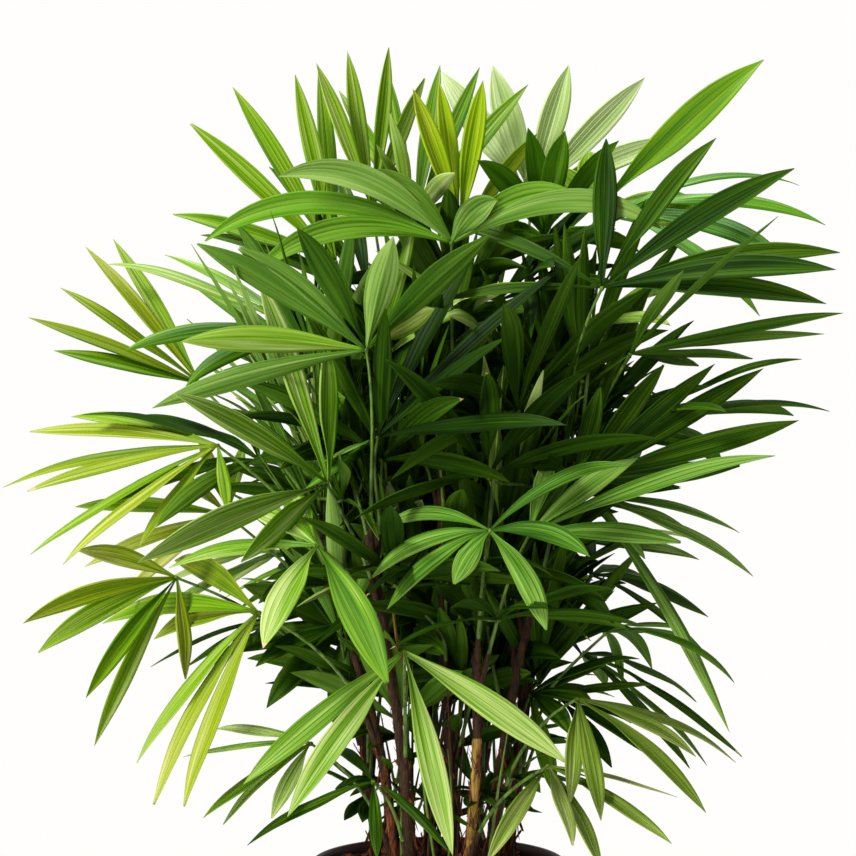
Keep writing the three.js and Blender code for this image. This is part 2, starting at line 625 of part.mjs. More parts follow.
// The three corners of a leaflet's section at a step: the edge on its left, the edge on its right,
// and the keel under its middle. left and right are the most that the two edges may stand out. A
// section made larger by extra rises above the edges, so its own edges are spread to hold them.
function leafletSection(path, step, left, right, extra) {
  const { place, forward, across } = path.stations[step];
  const upward = new THREE.Vector3().crossVectors(forward, across);
  const half = (path.width * along(WIDTH_AT, step / LEAFLET_STEPS)) / 2;
  const keel = path.length * LEAFLET_THICKNESS_SHARE;
  const middle = place.clone().addScaledVector(upward, extra);
  const spread = (keel + 2 * extra) / (keel + extra);
  return [
    middle.clone().addScaledVector(across, (Math.min(half, left) + extra) * spread),
    middle.clone().addScaledVector(across, -(Math.min(half, right) + extra) * spread),
    place.clone().addScaledVector(upward, -keel - extra),
  ];
}

function sectionsOf(frond) {
  return frond.droop < ARCHED_DROOP ? STRAIGHT_SECTIONS : ARCHED_SECTIONS;
}

// The room that one leaflet takes from the hub to its pointed tip, with its share of the web, made
// larger all round by extra.
function leafletRoom(frond, index, choice, extra) {
  const path = leafletPath(frond, index, choice);
  const rings = [0, WEB_STEP, ...sectionsOf(frond)].map((step) =>
    leafletSection(path, step, Infinity, Infinity, extra),
  );
  for (const [left, right] of rings.slice(0, 2)) {
    const spare = Math.max(0, WEB_HALF_WIDTH - left.distanceTo(right) / 2);
    const across = left.clone().sub(right).setLength(spare);
    left.add(across);
    right.sub(across);
  }
  const tip = path.stations[LEAFLET_STEPS];
  rings.push([tip.place.clone().addScaledVector(tip.forward, TIP_ROOM * extra)]);
  return loft(rings);
}

// The blade: every leaflet of the fan, joined by a small web round the hub. Beyond the web each one
// keeps to its own side of the line midway to its neighbour.
function bladeSolid(frond, paths, webRadius) {
  const steps = sectionsOf(frond);
  const keel = frond.length * LEAFLET_THICKNESS_SHARE;
  const { face } = fanDirections(frond);
  const crown = frond.hub.clone().addScaledVector(face, WEB_CROWN);
  const points = [crown, frond.hub.clone().addScaledVector(face, -keel)];
  const faces = [];
  const notches = [];
  for (let i = 0; i <= paths.length; i++) {
    const before = paths[Math.max(i - 1, 0)].stations[0];
    const after = paths[Math.min(i, paths.length - 1)].stations[0];
    const way = before.forward.clone().add(after.forward).normalize();
    if (i === 0) way.addScaledVector(after.across, -WEB_SIDE);
    if (i === paths.length) way.addScaledVector(before.across, WEB_SIDE);
    const halfAngle = before.forward.angleTo(after.forward) / 2;
    const radius = Math.min(webRadius, WEB_HALF_WIDTH / Math.sin(halfAngle));
    notches.push(points.length);
    points.push(frond.hub.clone().addScaledVector(way, radius));
  }
  const halfway = (other, path, step) =>
    other ? SIDE_SHARE * other.stations[step].place.distanceTo(path.stations[step].place) : Infinity;
  paths.forEach((path, i) => {
    const { forward, across } = path.stations[0];
    const upward = new THREE.Vector3().crossVectors(forward, across);
    const root = frond.hub.clone().addScaledVector(forward, webRadius);
    let ring = [notches[i + 1], notches[i], points.length];
    points.push(root.addScaledVector(upward, -path.length * LEAFLET_THICKNESS_SHARE));
    faces.push([0, ring[1], ring[0]], [1, ring[0], ring[2]], [1, ring[2], ring[1]]);
    for (const step of steps) {
      const left = halfway(paths[i + 1], path, step);
      const right = halfway(paths[i - 1], path, step);
      const next = points.length;
      points.push(...leafletSection(path, step, left, right, 0));
      for (let j = 0; j < 3; j++) {
        const k = (j + 1) % 3;
        faces.push([ring[j], ring[k], next + k], [ring[j], next + k, next + j]);
      }
      ring = [next, next + 1, next + 2];
    }
    const tip = points.length;
    points.push(path.stations[LEAFLET_STEPS].place);
    for (let j = 0; j < 3; j++) faces.push([ring[j], ring[(j + 1) % 3], tip]);
  });
  faces.push([notches[0], 0, 1], [0, notches[paths.length], 1]);
  return solidFrom(points, faces);
}

// --- Settling: stalks first, then leaflets, each clear of everything placed before it -------------

const placed = [];

function place(owner, solid) {
  placed.push({ owner, solid, box: boxOf(solid) });
}

// Whether a solid keeps clear of every other placed piece but those of two owners.
function isClear(owner, cane, grown) {
  const box = boxOf(grown);
  return placed.every(
    (other) =>
      other.owner === owner ||
      other.owner === cane ||
      !other.box.intersectsBox(box) ||
      grown.intersect(other.solid).isEmpty(),
  );
}

// The first choice whose solid, made a little larger, touches nothing, or undefined.
function settle(owner, cane, choices, make) {
  return choices.find((choice) => {
    const grown = make(choice, CLEARANCE);
    const clear = isClear(owner, cane, grown);
    grown.delete();
    return clear;
  });
}

// Finds a frond's stalk and starts its solid, cut clear of the cane or rooted in the older stalk. A
// younger frond whose stalk nothing brings clear is left out. Says whether the frond grows.
function growStalk(frond) {
  const make = (choice, extra) => stalkSolid(frond, choice, extra);
  frond.stalk = settle(frond.name, frond.cane, STALK_CHOICES, make);
  if (!frond.stalk) return false;
  const whole = make(frond.stalk, 0);
  const cut = frond.stem ? whole : whole.subtract(caneSolid(CANES[frond.cane], GAP));
  frond.solid = cut.decompose().reduce((a, b) => (b.volume() > a.volume() ? b : a));
  place(frond.name, frond.solid);
  return true;
}

// Adds the blade to a frond's solid. A leaflet that nothing brings clear is left out.
function growBlade(frond) {
  const paths = [];
  frond.leaflets.forEach((_, i) => {
    const make = (choice, extra) => leafletRoom(frond, i, choice, extra);
    const choice = settle(frond.name, null, LEAFLET_CHOICES, make);
    if (!choice) return;
    place(frond.name, make(choice, 0));
    paths.push(leafletPath(frond, i, choice));
  });
  if (paths.length === 0) return;
  const blades = WEB_RADII.map((radius) => bladeSolid(frond, paths, radius));
  const blade = blades.find((option) => isClear(frond.name, null, option)) ?? blades.at(-1);
  place(frond.name, blade);
  frond.solid = frond.solid.add(blade);
}

// --- The plant ----------------------------------------------------------------------------------

function meshOf(name, geometry, finish) {
  const mesh = new THREE.Mesh(geometry, new THREE.MeshStandardMaterial(FINISH[finish]));
  mesh.name = name;
  return mesh;
}

const palm = new THREE.Group();

function growWhole(name, solid, finish) {
  palm.add(meshOf(name, geometryOf(solid), finish));
  place(name, solid);
}

growWhole("pot", solidOfGeometry(potGeometry()), "pot");
growWhole("soil", solidOfGeometry(soilGeometry()), "soil");
for (const [name, cane] of Object.entries(CANES)) growWhole(name, caneSolid(cane, 0), "cane");

const fronds = allFronds();
const nodes = fronds.filter((frond) => !frond.stem);
nodes.forEach((frond, order) => {
  frond.name = `frond_${String(order + 1).padStart(2, "0")}`;
  frond.cane = nearestCane(frond);
});
fronds.forEach((frond, order) => {
  frond.seed = order + 1;
  if (frond.stem) frond.name = frond.stem.name;
});
const growing = fronds.filter(growStalk);
growing.forEach(growBlade);

for (const frond of nodes) {
  const younger = growing.filter((other) => other.stem === frond);
  const whole = younger.reduce((joined, other) => joined.add(other.solid), frond.solid);
  palm.add(meshOf(frond.name, geometryOf(whole.simplify(SLIVER)), frond.tint));
}

export default palm;
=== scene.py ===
# %% [markdown]
# # A potted lady palm
#
# A lady palm is a clump of slender canes wrapped in brown fibre. Each cane carries long-stalked
# fronds whose leaflets spread like the fingers of a hand, and every leaflet is pleated lengthwise.
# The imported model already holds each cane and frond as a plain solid. This lesson loads those solids
# as a fixed frame, finds out where every stalk and leaflet of them lies, and grows the fine plant on
# the same lines: pleated leaflets, round stalks, fibrous canes, mulch, and a moulded pot.

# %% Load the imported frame
import math

import bmesh
import bpy
import numpy as np
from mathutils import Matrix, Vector, kdtree


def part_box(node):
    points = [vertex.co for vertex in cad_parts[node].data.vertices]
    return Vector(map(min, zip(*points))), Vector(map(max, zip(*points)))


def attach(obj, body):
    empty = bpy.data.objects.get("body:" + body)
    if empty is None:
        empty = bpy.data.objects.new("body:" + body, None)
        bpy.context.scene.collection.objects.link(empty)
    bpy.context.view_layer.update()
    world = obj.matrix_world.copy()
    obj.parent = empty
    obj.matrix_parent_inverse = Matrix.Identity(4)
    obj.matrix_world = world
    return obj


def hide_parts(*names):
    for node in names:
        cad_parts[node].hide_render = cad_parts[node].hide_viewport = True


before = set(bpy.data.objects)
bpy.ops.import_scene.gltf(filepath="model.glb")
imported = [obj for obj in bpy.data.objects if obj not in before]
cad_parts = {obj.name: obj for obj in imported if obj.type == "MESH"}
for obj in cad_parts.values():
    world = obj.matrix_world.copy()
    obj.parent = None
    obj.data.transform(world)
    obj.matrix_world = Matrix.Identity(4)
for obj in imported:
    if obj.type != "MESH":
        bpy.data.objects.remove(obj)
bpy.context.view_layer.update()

MM = 0.001

# %% [markdown]
# ## Colours and nodes
#
# Colours are picked as sRGB hex values, the numbers a paint program shows, while shaders reckon in
# linear light. One function turns the first into the second. A second small function adds a node
# with its settings and links, so that every material and node tree below reads as a short list.


# %% Two helpers for every tree
def linear(hex_colour):
    """The linear RGBA of an sRGB colour such as "#4f8a2a"."""
    channels = [int(hex_colour[i : i + 2], 16) / 255 for i in (1, 3, 5)]
    return tuple(c / 12.92 if c <= 0.04045 else ((c + 0.055) / 1.055) ** 2.4 for c in channels) + (1.0,)


def add_node(tree, kind, settings=None, links=None):
    """Adds a node. settings are its own properties or the values of its inputs, by name or number;
    links says which socket feeds which input."""
    node = tree.nodes.new(kind)
    for name, value in (settings or {}).items():
        if isinstance(name, str) and hasattr(node, name):
            setattr(node, name, value)
        else:
            node.inputs[name].default_value = value
    for name, source in (links or {}).items():
        tree.links.new(source, node.inputs[name])
    return node


def new_material(name):
    """An empty material: its tree, its Principled shader and itself."""
    material = bpy.data.materials.new(name)
    material.use_nodes = True
    tree = material.node_tree
    return tree, tree.nodes["Principled BSDF"], material


print("linear value of mid grey:", round(linear("#808080")[0], 4))

# %% [markdown]
# ## The rule that the plant grows by
#
# The solids were grown by a rule from a short list of fronds, so the same rule is written here again.
# It says where each cane stands, how each stalk arches from its cane to the hub of its fan, and how
# each leaflet sets out from the hub and bends down. Working in millimetres keeps the numbers the size
# of the real thing.

# %% The sizes of canes, stalks and leaflets
SOIL_TOP = 266
GAP = 0.3

CANE_RADIUS = 8.5
CANE_FOOT_SHARE = 1.08
CANE_TOP_SHARE = 0.8
CANE_FLARE = 1.45
CANE_FLARE_HEIGHT = 30

STALK_BELOW_HUB = 110
STALK_FALL = 0.55
STALK_BELOW_TIP = 20
STALK_ABOVE_SOIL = 40
STALK_HIGHEST_SHARE = 0.98
STALK_START_DEPTH = 0.45
STALK_LEVEL_COST = 0.8
STALK_SHORT_RUN = 5
STALK_RISE_OUT = 0.36
STALK_LEAN_OUT = 0.1
STALK_REACH_IN = 0.34
STALK_LINE_UP = 0.5
FORK_SHARE = 0.3
FORK_SPAN = 500
FORK_LOWEST_SHARE = 0.1
FORK_HANDLE = 0.3

LEAFLET_STEPS = 24
DROOP_AT_ROOT = 0.4
DROOP_GAIN = 1.2
OUTER_SHORTENING = 0.16
OUTER_NARROWING = 0.2
LEAFLET_STAGGER = 3
TURN_SPREAD = 2
TILT_SPREAD = 3
TWIST_SPREAD = 12
LENGTH_SPREAD = 0.07
WIDTH_SPREAD = 0.1

# The share of a leaflet's full width along its length, from root to tip.
WIDTH_AT = np.array(
    [(0, 0.16), (0.14, 0.34), (0.3, 0.68), (0.45, 0.92), (0.6, 1), (0.75, 0.86), (0.88, 0.52), (1, 0)]
)

# %% The canes: foot, tip and the bow of the middle
CANES = {
    "cane_1": ((-54, -40), (-106, -66, 560), (12, 6)),
    "cane_2": ((-32, -66), (-84, -100, 690), (8, -8)),
    "cane_3": ((24, -30), (4, -46, 800), (-6, 8)),
    "cane_4": ((30, -72), (44, -92, 560), (8, 4)),
    "cane_5": ((62, -34), (122, -52, 640), (-10, -6)),
    "cane_6": ((88, 6), (158, 8, 780), (-12, 4)),
    "cane_7": ((-76, 16), (-150, 28, 720), (10, 4)),
    "cane_8": ((-12, 44), (-32, 84, 860), (6, -6)),
    "cane_9": ((48, 62), (98, 118, 760), (-8, -6)),
}

# %% The fronds of the front and the sides
# Each row: hub, azimuth, rise, roll, leaflets, length, width, droop, tint. A leaflet is its angle in
# the fan, or that angle and its share of the leaflet length.
FRONDS = [
    (
        (16, -60, 1056), -12, 87, 10,
        ((-70, 1.15), (-62, 1.28), -45, (-33, 0.6), (30, 0.3), (46, 0.7), (57, 1.07)),
        258, 34, 72, "bright",
    ),
    (
        (195, -120, 997), 84, 32, 67,
        ((-31, 0.95), -25, (-13, 1.05), (5, 0.93), (26, 0.82), (62, 0.8), (115, 1.2), (145, 1.2)),
        280, 30, 19, "deep",
    ),
    (
        (234, -60, 920), 72, 21, -13,
        (-58, (-39, 1.2), (18, 0.88), (42, 1.07), (52, 0.73), (75, 0.68), 119, 145),
        292, 25, 4, "deep",
    ),
    (
        (-86, -140, 922), -50, 58, 45,
        ((-76, 1.3), -56, -27, (-23, 0.88), (0, 0.7), (34, 0.6), 63, (76, 0.47)),
        240, 34, 14, "olive",
    ),
    ((-131, 60, 1042), -104, 65, -58, (-24, -10, 4, 22, (48, 0.9)), 266, 25, 10, "fresh"),
    ((122, 150, 1132), 178, 78, 0, (-61, -43, (-16, 0.9), (13, 0.92), 31), 222, 38, 6, "pale"),
    ((209, 90, 1114), 88, 30, 66, ((-34, 0.5), 13, (70, 0.36), (108, 0.4)), 284, 52, 4, "fresh"),
    ((222, 40, 1096), 84, 22, 40, (-48, -26, -4, 16, (40, 0.6)), 262, 30, 58, "bright"),
    ((-84, 40, 1108), -90, 84, -70, (-28, -13, 2, 17), 198, 21, 6, "fresh"),
    ((-30, 120, 1096), 95, 76, 70, (-24, -8, 8, 24, 42), 225, 24, 8, "green"),
    ((26, 0, 1082), -85, 86, -70, (-46, -12, 2, 16), 175, 27, 6, "straw"),
    ((-303, 40, 886), -82, 44, -46, ((-23, 1.07), (-11, 1.1), 7, (27, 1.1), 38), 210, 25, 6, "lime"),
    (
        (-274, -20, 808), -104, 4, -44,
        ((-20, 1.1), (-6, 1.12), (7, 1.2), 18, (43, 1.15), (56, 1.07), (68, 0.75), (115, 0.65)),
        240, 22, 14, "lime",
    ),
    (
        (-132, -150, 764), -56, 53, -76,
        ((-44, 0.73), (-33, 1.12), 24, (64, 1.2), (81, 0.7)),
        258, 34, 12, "green",
    ),
    ((-272, 90, 718), -92, 22, -56, ((-76, 0.7), (-52, 0.6), (-24, 0.5), 18, 40, 62), 212, 20, 16, "lime"),
    (
        (-321, -60, 647), -47, -30, -77,
        ((-57, 0.68), (-27, 1.12), -15, 6, (21, 1.2), (59, 0.73)),
        195, 25, 26, "lime",
    ),
    (
        (-214, -130, 610), -110, -29, -54,
        (-61, (-46, 1.25), (-34, 0.8), (25, 0.88), (36, 1.05), (54, 1.07)),
        252, 32, 27, "lime",
    ),
    (
        (-139, -230, 694), -56, -31, -23,
        (-116, (-99, 0.78), -57, (22, 0.8), (70, 1.15)),
        204, 42, 20, "green",
    ),
    (
        (58, -220, 712), -4, -75, 21,
        ((-121, 1.15), -97, -81, (-51, 0.38), (42, 0.73), (96, 0.75), (131, 1.3)),
        205, 29, 55, "mid",
    ),
    ((107, -150, 704), 84, 18, 50, ((-14, 0.62), 2, 14, (30, 0.55), (66, 0.5)), 308, 29, 16, "mid"),
    (
        (168, -60, 764), 105, 7, 99,
        ((-1, 0.85), (8, 1.12), (23, 1.15), (37, 0.88), (54, 0.75), (73, 0.5)),
        260, 28, 2, "deep",
    ),
    (
        (191, 20, 736), 84, -17, 32,
        ((-45, 1.28), (-30, 0.4), (16, 0.85), (28, 0.53), (39, 0.82)),
        280, 24, 40, "mid",
    ),
    ((205, -40, 576), 71, 21, 0, (-36, (43, 0.47), (58, 0.85), 87, 101), 266, 19, 53, "deep"),
    (
        (165, -120, 506), 66, -35, 27,
        ((-58, 0.82), (-47, 0.9), 13, (29, 0.9), (41, 1.15)),
        192, 23, 28, "olive",
    ),
    ((128, -160, 432), 29, -23, -1, ((-50, 1.18), -20, -4, 26, 73), 181, 23, 12, "olive"),
    ((-40, -240, 575), 2, -74, 9, (-55, -37, 13, (57, 1.05)), 242, 33, 11, "green"),
    ((-156, -60, 444), -88, -13, -19, (-49, -24, 31, 46, (64, 0.85)), 176, 23, 12, "green"),
    ((-79, -90, 402), -82, -10, -27, (-79, 13, (83, 0.78), (124, 1.1)), 178, 21, 31, "deep"),
    (
        (-73, -100, 818), 65, 37, 44,
        ((-33, 1.12), (2, 0.8), (18, 1.15), (31, 0.95), 67),
        270, 36, 10, "heart",
    ),
    ((98, -60, 850), 30, 56, 10, (-84, -54, -26, 2, 30, 58, 84), 240, 30, 34, "heart"),
    (
        (-176, 0, 824), -29, 53, -27,
        ((-71, 0.82), (-61, 1.1), (-13, 1.2), -17, (15, 1.23)),
        232, 20, 2, "mid",
    ),
    ((10, -70, 640), 10, 34, 0, (-86, -58, -30, 0, 28, 60, 88), 220, 30, 60, "heart"),
    ((196, 70, 640), 165, 20, 30, (-70, -42, -14, 14, 42, 70), 225, 30, 36, "deep"),
]

# %% The younger fronds of the heart, each on the stalk of the frond of its first number
HEART_FRONDS = [
    (29, (-70, -70, 790), -30, 60, 0, (-76, -44, -14, 16, 46, 76), 215, 28, 34, "heart"),
    (30, (60, -100, 770), 20, 50, 0, (-76, -44, -14, 16, 46, 76), 215, 28, 38, "heart"),
    (32, (-52, -100, 640), -20, 44, 0, (-76, -44, -14, 16, 46, 76), 205, 28, 38, "heart"),
    (19, (70, -120, 600), 30, 30, 0, (-76, -44, -14, 16, 46, 76), 190, 27, 38, "heart"),
    (31, (-120, -30, 740), -50, 50, -20, (-70, -40, -12, 16, 44, 72), 205, 27, 30, "deep"),
]

# %% The fronds that fill the back, level by level
# Each level: hub height, reach, how many, first and last azimuth, rise, droop, tint.
FILL_LEVELS = [
    (1010, 110, 2, 140, 225, 62, 26, "deep"),
    (930, 205, 4, 105, 255, 34, 38, "green"),
    (800, 245, 4, 92, 262, 22, 38, "deep"),
    (670, 235, 3, 140, 245, 8, 38, "green"),
    (560, 190, 3, 125, 255, -6, 38, "deep"),
]
CLUMP_MIDDLE = (10, 10)
FILL_LEAFLETS = (-78, -47, -16, 16, 47, 78)
FILL_LENGTH = 235
FILL_WIDTH = 31
FILL_SPREAD = {
    "around": 9,
    "reach": 0.14,
    "height": 38,
    "facing": 16,
    "rise": 12,
    "roll": 24,
    "length": 0.1,
}
INNER_LEAFLETS = (-66, -22, 22, 66)
INNER_REACH_SHARE = 0.42
INNER_BELOW = 35
INNER_RISE = 62
INNER_LENGTH_SHARE = 0.9
INNER_SPREAD = {"around": 30, "facing": 90, "rise": 12}

# %% What was tried to bring a stalk or a leaflet clear of the others
STALK_CHOICES = [
    (lift, swerve)
    for lift in (0, 25, -25, 50, -50, 75, -75, -100, -130, -160, -200, -240)
    for swerve in (0, 12, -12, 24, -24, 36, -36, 50, -50, 64, -64)
]
LEAFLET_CHOICES = np.array(
    [
        (share, tilt, swing)
        for share in (1, 0.86, 0.72)
        for tilt in (0, 6, -6, 12, -12, 18, -18)
        for swing in (0, 4, -4, 8, -8)
    ],
    float,
)
print("choices:", len(STALK_CHOICES), "for a stalk,", len(LEAFLET_CHOICES), "for a leaflet")


# %% Repeatable chance
def chance(a, b, c):
    """A repeatable number between 0 and 1 for three whole numbers."""
    wave = math.sin(a * 12.9898 + b * 78.233 + c * 37.719) * 43758.5453
    return wave - math.floor(wave)


def jitter(size, a, b, c):
    """A repeatable number between -size and size."""
    return size * (2 * chance(a, b, c) - 1)


def unit(vector):
    """A vector, or each row of several, made one long."""
    return vector / np.linalg.norm(vector, axis=-1, keepdims=True)


# %% Where a cane's middle runs, and how thick it is
def cane_middle(name, t):
    foot, tip, bow = CANES[name]
    swell = 4 * t * (1 - t)
    low = np.array((*foot, SOIL_TOP + GAP), float)
    return low + (np.array(tip, float) - low) * t + np.array((*bow, 0.0)) * swell


def cane_radius(name, t):
    height = t * (CANES[name][1][2] - SOIL_TOP)
    widening = 1 + (CANE_FLARE - 1) * max(0.0, 1 - height / CANE_FLARE_HEIGHT) ** 2
    return CANE_RADIUS * (CANE_FOOT_SHARE + (CANE_TOP_SHARE - CANE_FOOT_SHARE) * t) * widening


# %% The list of fronds
class Frond:
    """One fan of leaflets: its hub, how it faces, its leaflets, and the frond that its stalk leaves."""

    def __init__(self, hub, azimuth, rise, roll, leaflets, length, width, droop, tint, stem=None):
        self.hub = np.array(hub, float)
        self.azimuth, self.rise, self.roll = azimuth, rise, roll
        self.leaflets = [x if isinstance(x, tuple) else (x, 1) for x in leaflets]
        self.length, self.width, self.droop, self.tint = length, width, droop, tint
        self.stem = stem
        self.cane = self.stalk = self.name = None


def around(azimuth, reach, height):
    turn = math.radians(azimuth)
    return (CLUMP_MIDDLE[0] + reach * math.sin(turn), CLUMP_MIDDLE[1] - reach * math.cos(turn), height)


def fill_pair(level, row, i):
    """An outer fill frond at place i of a level, and the younger one on its stalk."""
    level_height, level_reach, count, first, last, rise, droop, tint = level
    azimuth = first + (last - first) * i / (count - 1) + jitter(FILL_SPREAD["around"], row, i, 1)
    reach = level_reach * (1 + jitter(FILL_SPREAD["reach"], row, i, 2))
    height = level_height + jitter(FILL_SPREAD["height"], row, i, 3)
    outer = Frond(
        around(azimuth, reach, height),
        azimuth + jitter(FILL_SPREAD["facing"], row, i, 4),
        rise + jitter(FILL_SPREAD["rise"], row, i, 5),
        jitter(FILL_SPREAD["roll"], row, i, 6),
        FILL_LEAFLETS,
        FILL_LENGTH * (1 + jitter(FILL_SPREAD["length"], row, i, 7)),
        FILL_WIDTH,
        droop,
        tint,
    )
    aside = jitter(INNER_SPREAD["around"], row, i, 8)
    inner = Frond(
        around(azimuth + aside, reach * INNER_REACH_SHARE, height - INNER_BELOW),
        azimuth + 180 + jitter(INNER_SPREAD["facing"], row, i, 9),
        INNER_RISE + jitter(INNER_SPREAD["rise"], row, i, 10),
        outer.roll,
        INNER_LEAFLETS,
        outer.length * INNER_LENGTH_SHARE,
        FILL_WIDTH,
        droop,
        tint,
        stem=outer,
    )
    return [outer, inner]


front = [Frond(*row) for row in FRONDS]
heart = [Frond(*row, stem=front[older - 1]) for older, *row in HEART_FRONDS]
fill = []
for row, level in enumerate(FILL_LEVELS):
    for i in range(level[2]):
        fill += fill_pair(level, row, i)
fronds = front + heart + fill
print("fronds in the list:", len(fronds))


# %% How a fan faces, and where its stalk leaves its cane
def fan_directions(frond):
    """Out along the middle leaflet, sideways, and up from the upper face."""
    turn, rise, roll = (math.radians(x) for x in (frond.azimuth, frond.rise, frond.roll))
    out = np.array((math.sin(turn) * math.cos(rise), -math.cos(turn) * math.cos(rise), math.sin(rise)))
    level = unit(np.cross((0, 0, 1), out))
    side = level * math.cos(roll) + np.cross(out, level) * math.sin(roll)
    return out, side, np.cross(out, side)


def stalk_start(frond, cane, lift):
    top = cane_middle(cane, 1)
    across = math.hypot(frond.hub[0] - top[0], frond.hub[1] - top[1])
    wanted = frond.hub[2] - STALK_BELOW_HUB - STALK_FALL * across
    height = max(min(wanted, top[2] - STALK_BELOW_TIP) + lift, SOIL_TOP + STALK_ABOVE_SOIL)
    return min((height - SOIL_TOP - GAP) / (top[2] - SOIL_TOP - GAP), STALK_HIGHEST_SHARE)


def nearest_cane(frond):
    def cost(name):
        start = cane_middle(name, stalk_start(frond, name, 0))
        level = math.hypot(start[0] - frond.hub[0], start[1] - frond.hub[1])
        return np.linalg.norm(start - frond.hub) + STALK_LEVEL_COST * level

    return min(CANES, key=cost)


# %% The curve of a stalk
def bezier(points, t):
    """Points on a cubic curve at the shares t of it."""
    t = np.asarray(t, float)[..., None]
    a, b, c, d = points
    return (1 - t) ** 3 * a + 3 * (1 - t) ** 2 * t * b + 3 * (1 - t) * t**2 * c + t**3 * d


def bezier_way(points, t):
    """The way forward on that curve."""
    a, b, c, d = points
    return unit((1 - t) ** 2 * (b - a) + 2 * (1 - t) * t * (c - b) + t**2 * (d - c))


def stalk_root(frond, lift):
    """Where a stalk starts, and the first handle of its curve as a share of its span."""
    if frond.stem:
        older = stalk_curve(frond.stem, *frond.stem.stalk)
        share = max(FORK_SHARE - lift / FORK_SPAN, FORK_LOWEST_SHARE)
        return bezier(older, share), bezier_way(older, share) * FORK_HANDLE
    share = stalk_start(frond, frond.cane, lift)
    middle = cane_middle(frond.cane, share)
    across = np.array((frond.hub[0] - middle[0], frond.hub[1] - middle[1], 0.0))
    if np.linalg.norm(across) < STALK_SHORT_RUN:
        across = fan_directions(frond)[0] * (1, 1, 0)
    across = unit(across)
    start = middle + across * cane_radius(frond.cane, share) * STALK_START_DEPTH
    return start, np.array((0, 0, STALK_RISE_OUT)) + across * STALK_LEAN_OUT


def stalk_curve(frond, lift, swerve):
    """The four points of the cubic curve that a stalk follows."""
    start, handle = stalk_root(frond, lift)
    straight = frond.hub - start
    span = np.linalg.norm(straight)
    sideways = unit(np.cross((0, 0, 1), straight))
    arrive = unit(fan_directions(frond)[0] * STALK_LINE_UP + straight / span)
    first = start + handle * span + sideways * swerve
    second = frond.hub - arrive * STALK_REACH_IN * span + sideways * swerve
    return start, first, second, frond.hub


# %% The paths of a leaflet, for several choices at once
def leaflet_paths(frond, index, choices):
    """Places, ways forward and ways sideways at every step, one row for each choice; and the width."""
    out, side, face = fan_directions(frond)
    turn, reach = frond.leaflets[index]
    share, tilt, swing = choices.T
    outward = (turn / 90) ** 2
    stagger = LEAFLET_STAGGER if index % 2 else -LEAFLET_STAGGER
    angle = np.radians(turn + jitter(TURN_SPREAD, frond.seed, index, 11) + swing)[:, None]
    lean = np.radians(stagger + jitter(TILT_SPREAD, frond.seed, index, 12) + tilt)[:, None]
    usual = frond.length * (1 - OUTER_SHORTENING * outward) * reach
    length = usual * (1 + jitter(LENGTH_SPREAD, frond.seed, index, 13)) * share[:, None]
    width = frond.width * (1 - OUTER_NARROWING * outward)
    width *= 1 + jitter(WIDTH_SPREAD, frond.seed, index, 14)
    forward = (out * np.cos(angle) + side * np.sin(angle)) * np.cos(lean) + face * np.sin(lean)
    across = side * np.cos(angle) - out * np.sin(angle)
    twist = math.radians(jitter(TWIST_SPREAD, frond.seed, index, 15))
    across = across * math.cos(twist) + np.cross(forward, across) * math.sin(twist)
    place = np.repeat(frond.hub[None], len(choices), 0)
    places, forwards, acrosses = [place], [forward], [across]
    for i in range(1, LEAFLET_STEPS + 1):
        rate = DROOP_AT_ROOT + DROOP_GAIN * i / LEAFLET_STEPS
        bent = unit(forward - np.array((0, 0, math.radians(frond.droop) * rate / LEAFLET_STEPS)))
        across = unit(across - bent * np.sum(across * bent, 1, keepdims=True))
        place = place + (forward + bent) * length / LEAFLET_STEPS / 2
        forward = bent
        places.append(place)
        forwards.append(forward)
        acrosses.append(across)
    return np.stack(places, 1), np.stack(forwards, 1), np.stack(acrosses, 1), length[:, 0], width


# %% [markdown]
# ## Find the settled stalks and leaflets
#
# In the solids, a stalk or a leaflet that would have touched another was moved a little until it was
# clear. Which of the possible moves was taken shows in the mesh: the right one puts its points exactly
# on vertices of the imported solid. So each possible move is tried against the solid's vertices, and a
# leaflet with no match was left out of the plant.


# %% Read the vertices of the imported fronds
def points_of(node):
    """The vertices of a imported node, in millimetres."""
    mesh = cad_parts[node].data
    points = np.zeros(len(mesh.vertices) * 3, np.float32)
    mesh.vertices.foreach_get("co", points)
    return np.unique(points.reshape(-1, 3).astype(float).round(7), axis=0) / MM


def nearest(points, cloud):
    """How far each point is from the nearest point of a cloud."""
    return np.sqrt(((points[..., None, :] - cloud) ** 2).sum(-1).min(-1))


MATCH = 0.05  # millimetres: a choice this near to the solid's own vertices is the one it was built with
STALK_BASE_RADIUS = 4.2
STALK_TIP_RADIUS = 2.7
STALK_RINGS = (0.25, 0.5, 0.75)


def ring_points(frond, choice):
    """The corners of the solid stalk's middle rings."""
    curve = stalk_curve(frond, *choice)
    sideways = unit(np.cross((0, 0, 1), curve[3] - curve[0]))
    corners = []
    for t in STALK_RINGS:
        way = bezier_way(curve, t)
        first = unit(sideways - way * sideways.dot(way))
        second = np.cross(way, first)
        radius = STALK_BASE_RADIUS + (STALK_TIP_RADIUS - STALK_BASE_RADIUS) * t
        corners += [bezier(curve, t) + v * radius for v in (first, second, -first, -second)]
    return np.array(corners)


def settled_stalk(frond, cloud):
    """The choice whose rings lie on the solid's vertices, or None."""
    hits = [(nearest(ring_points(frond, choice), cloud) < MATCH).sum() for choice in STALK_CHOICES]
    best = int(np.argmax(hits))
    return STALK_CHOICES[best] if hits[best] >= len(STALK_RINGS) else None


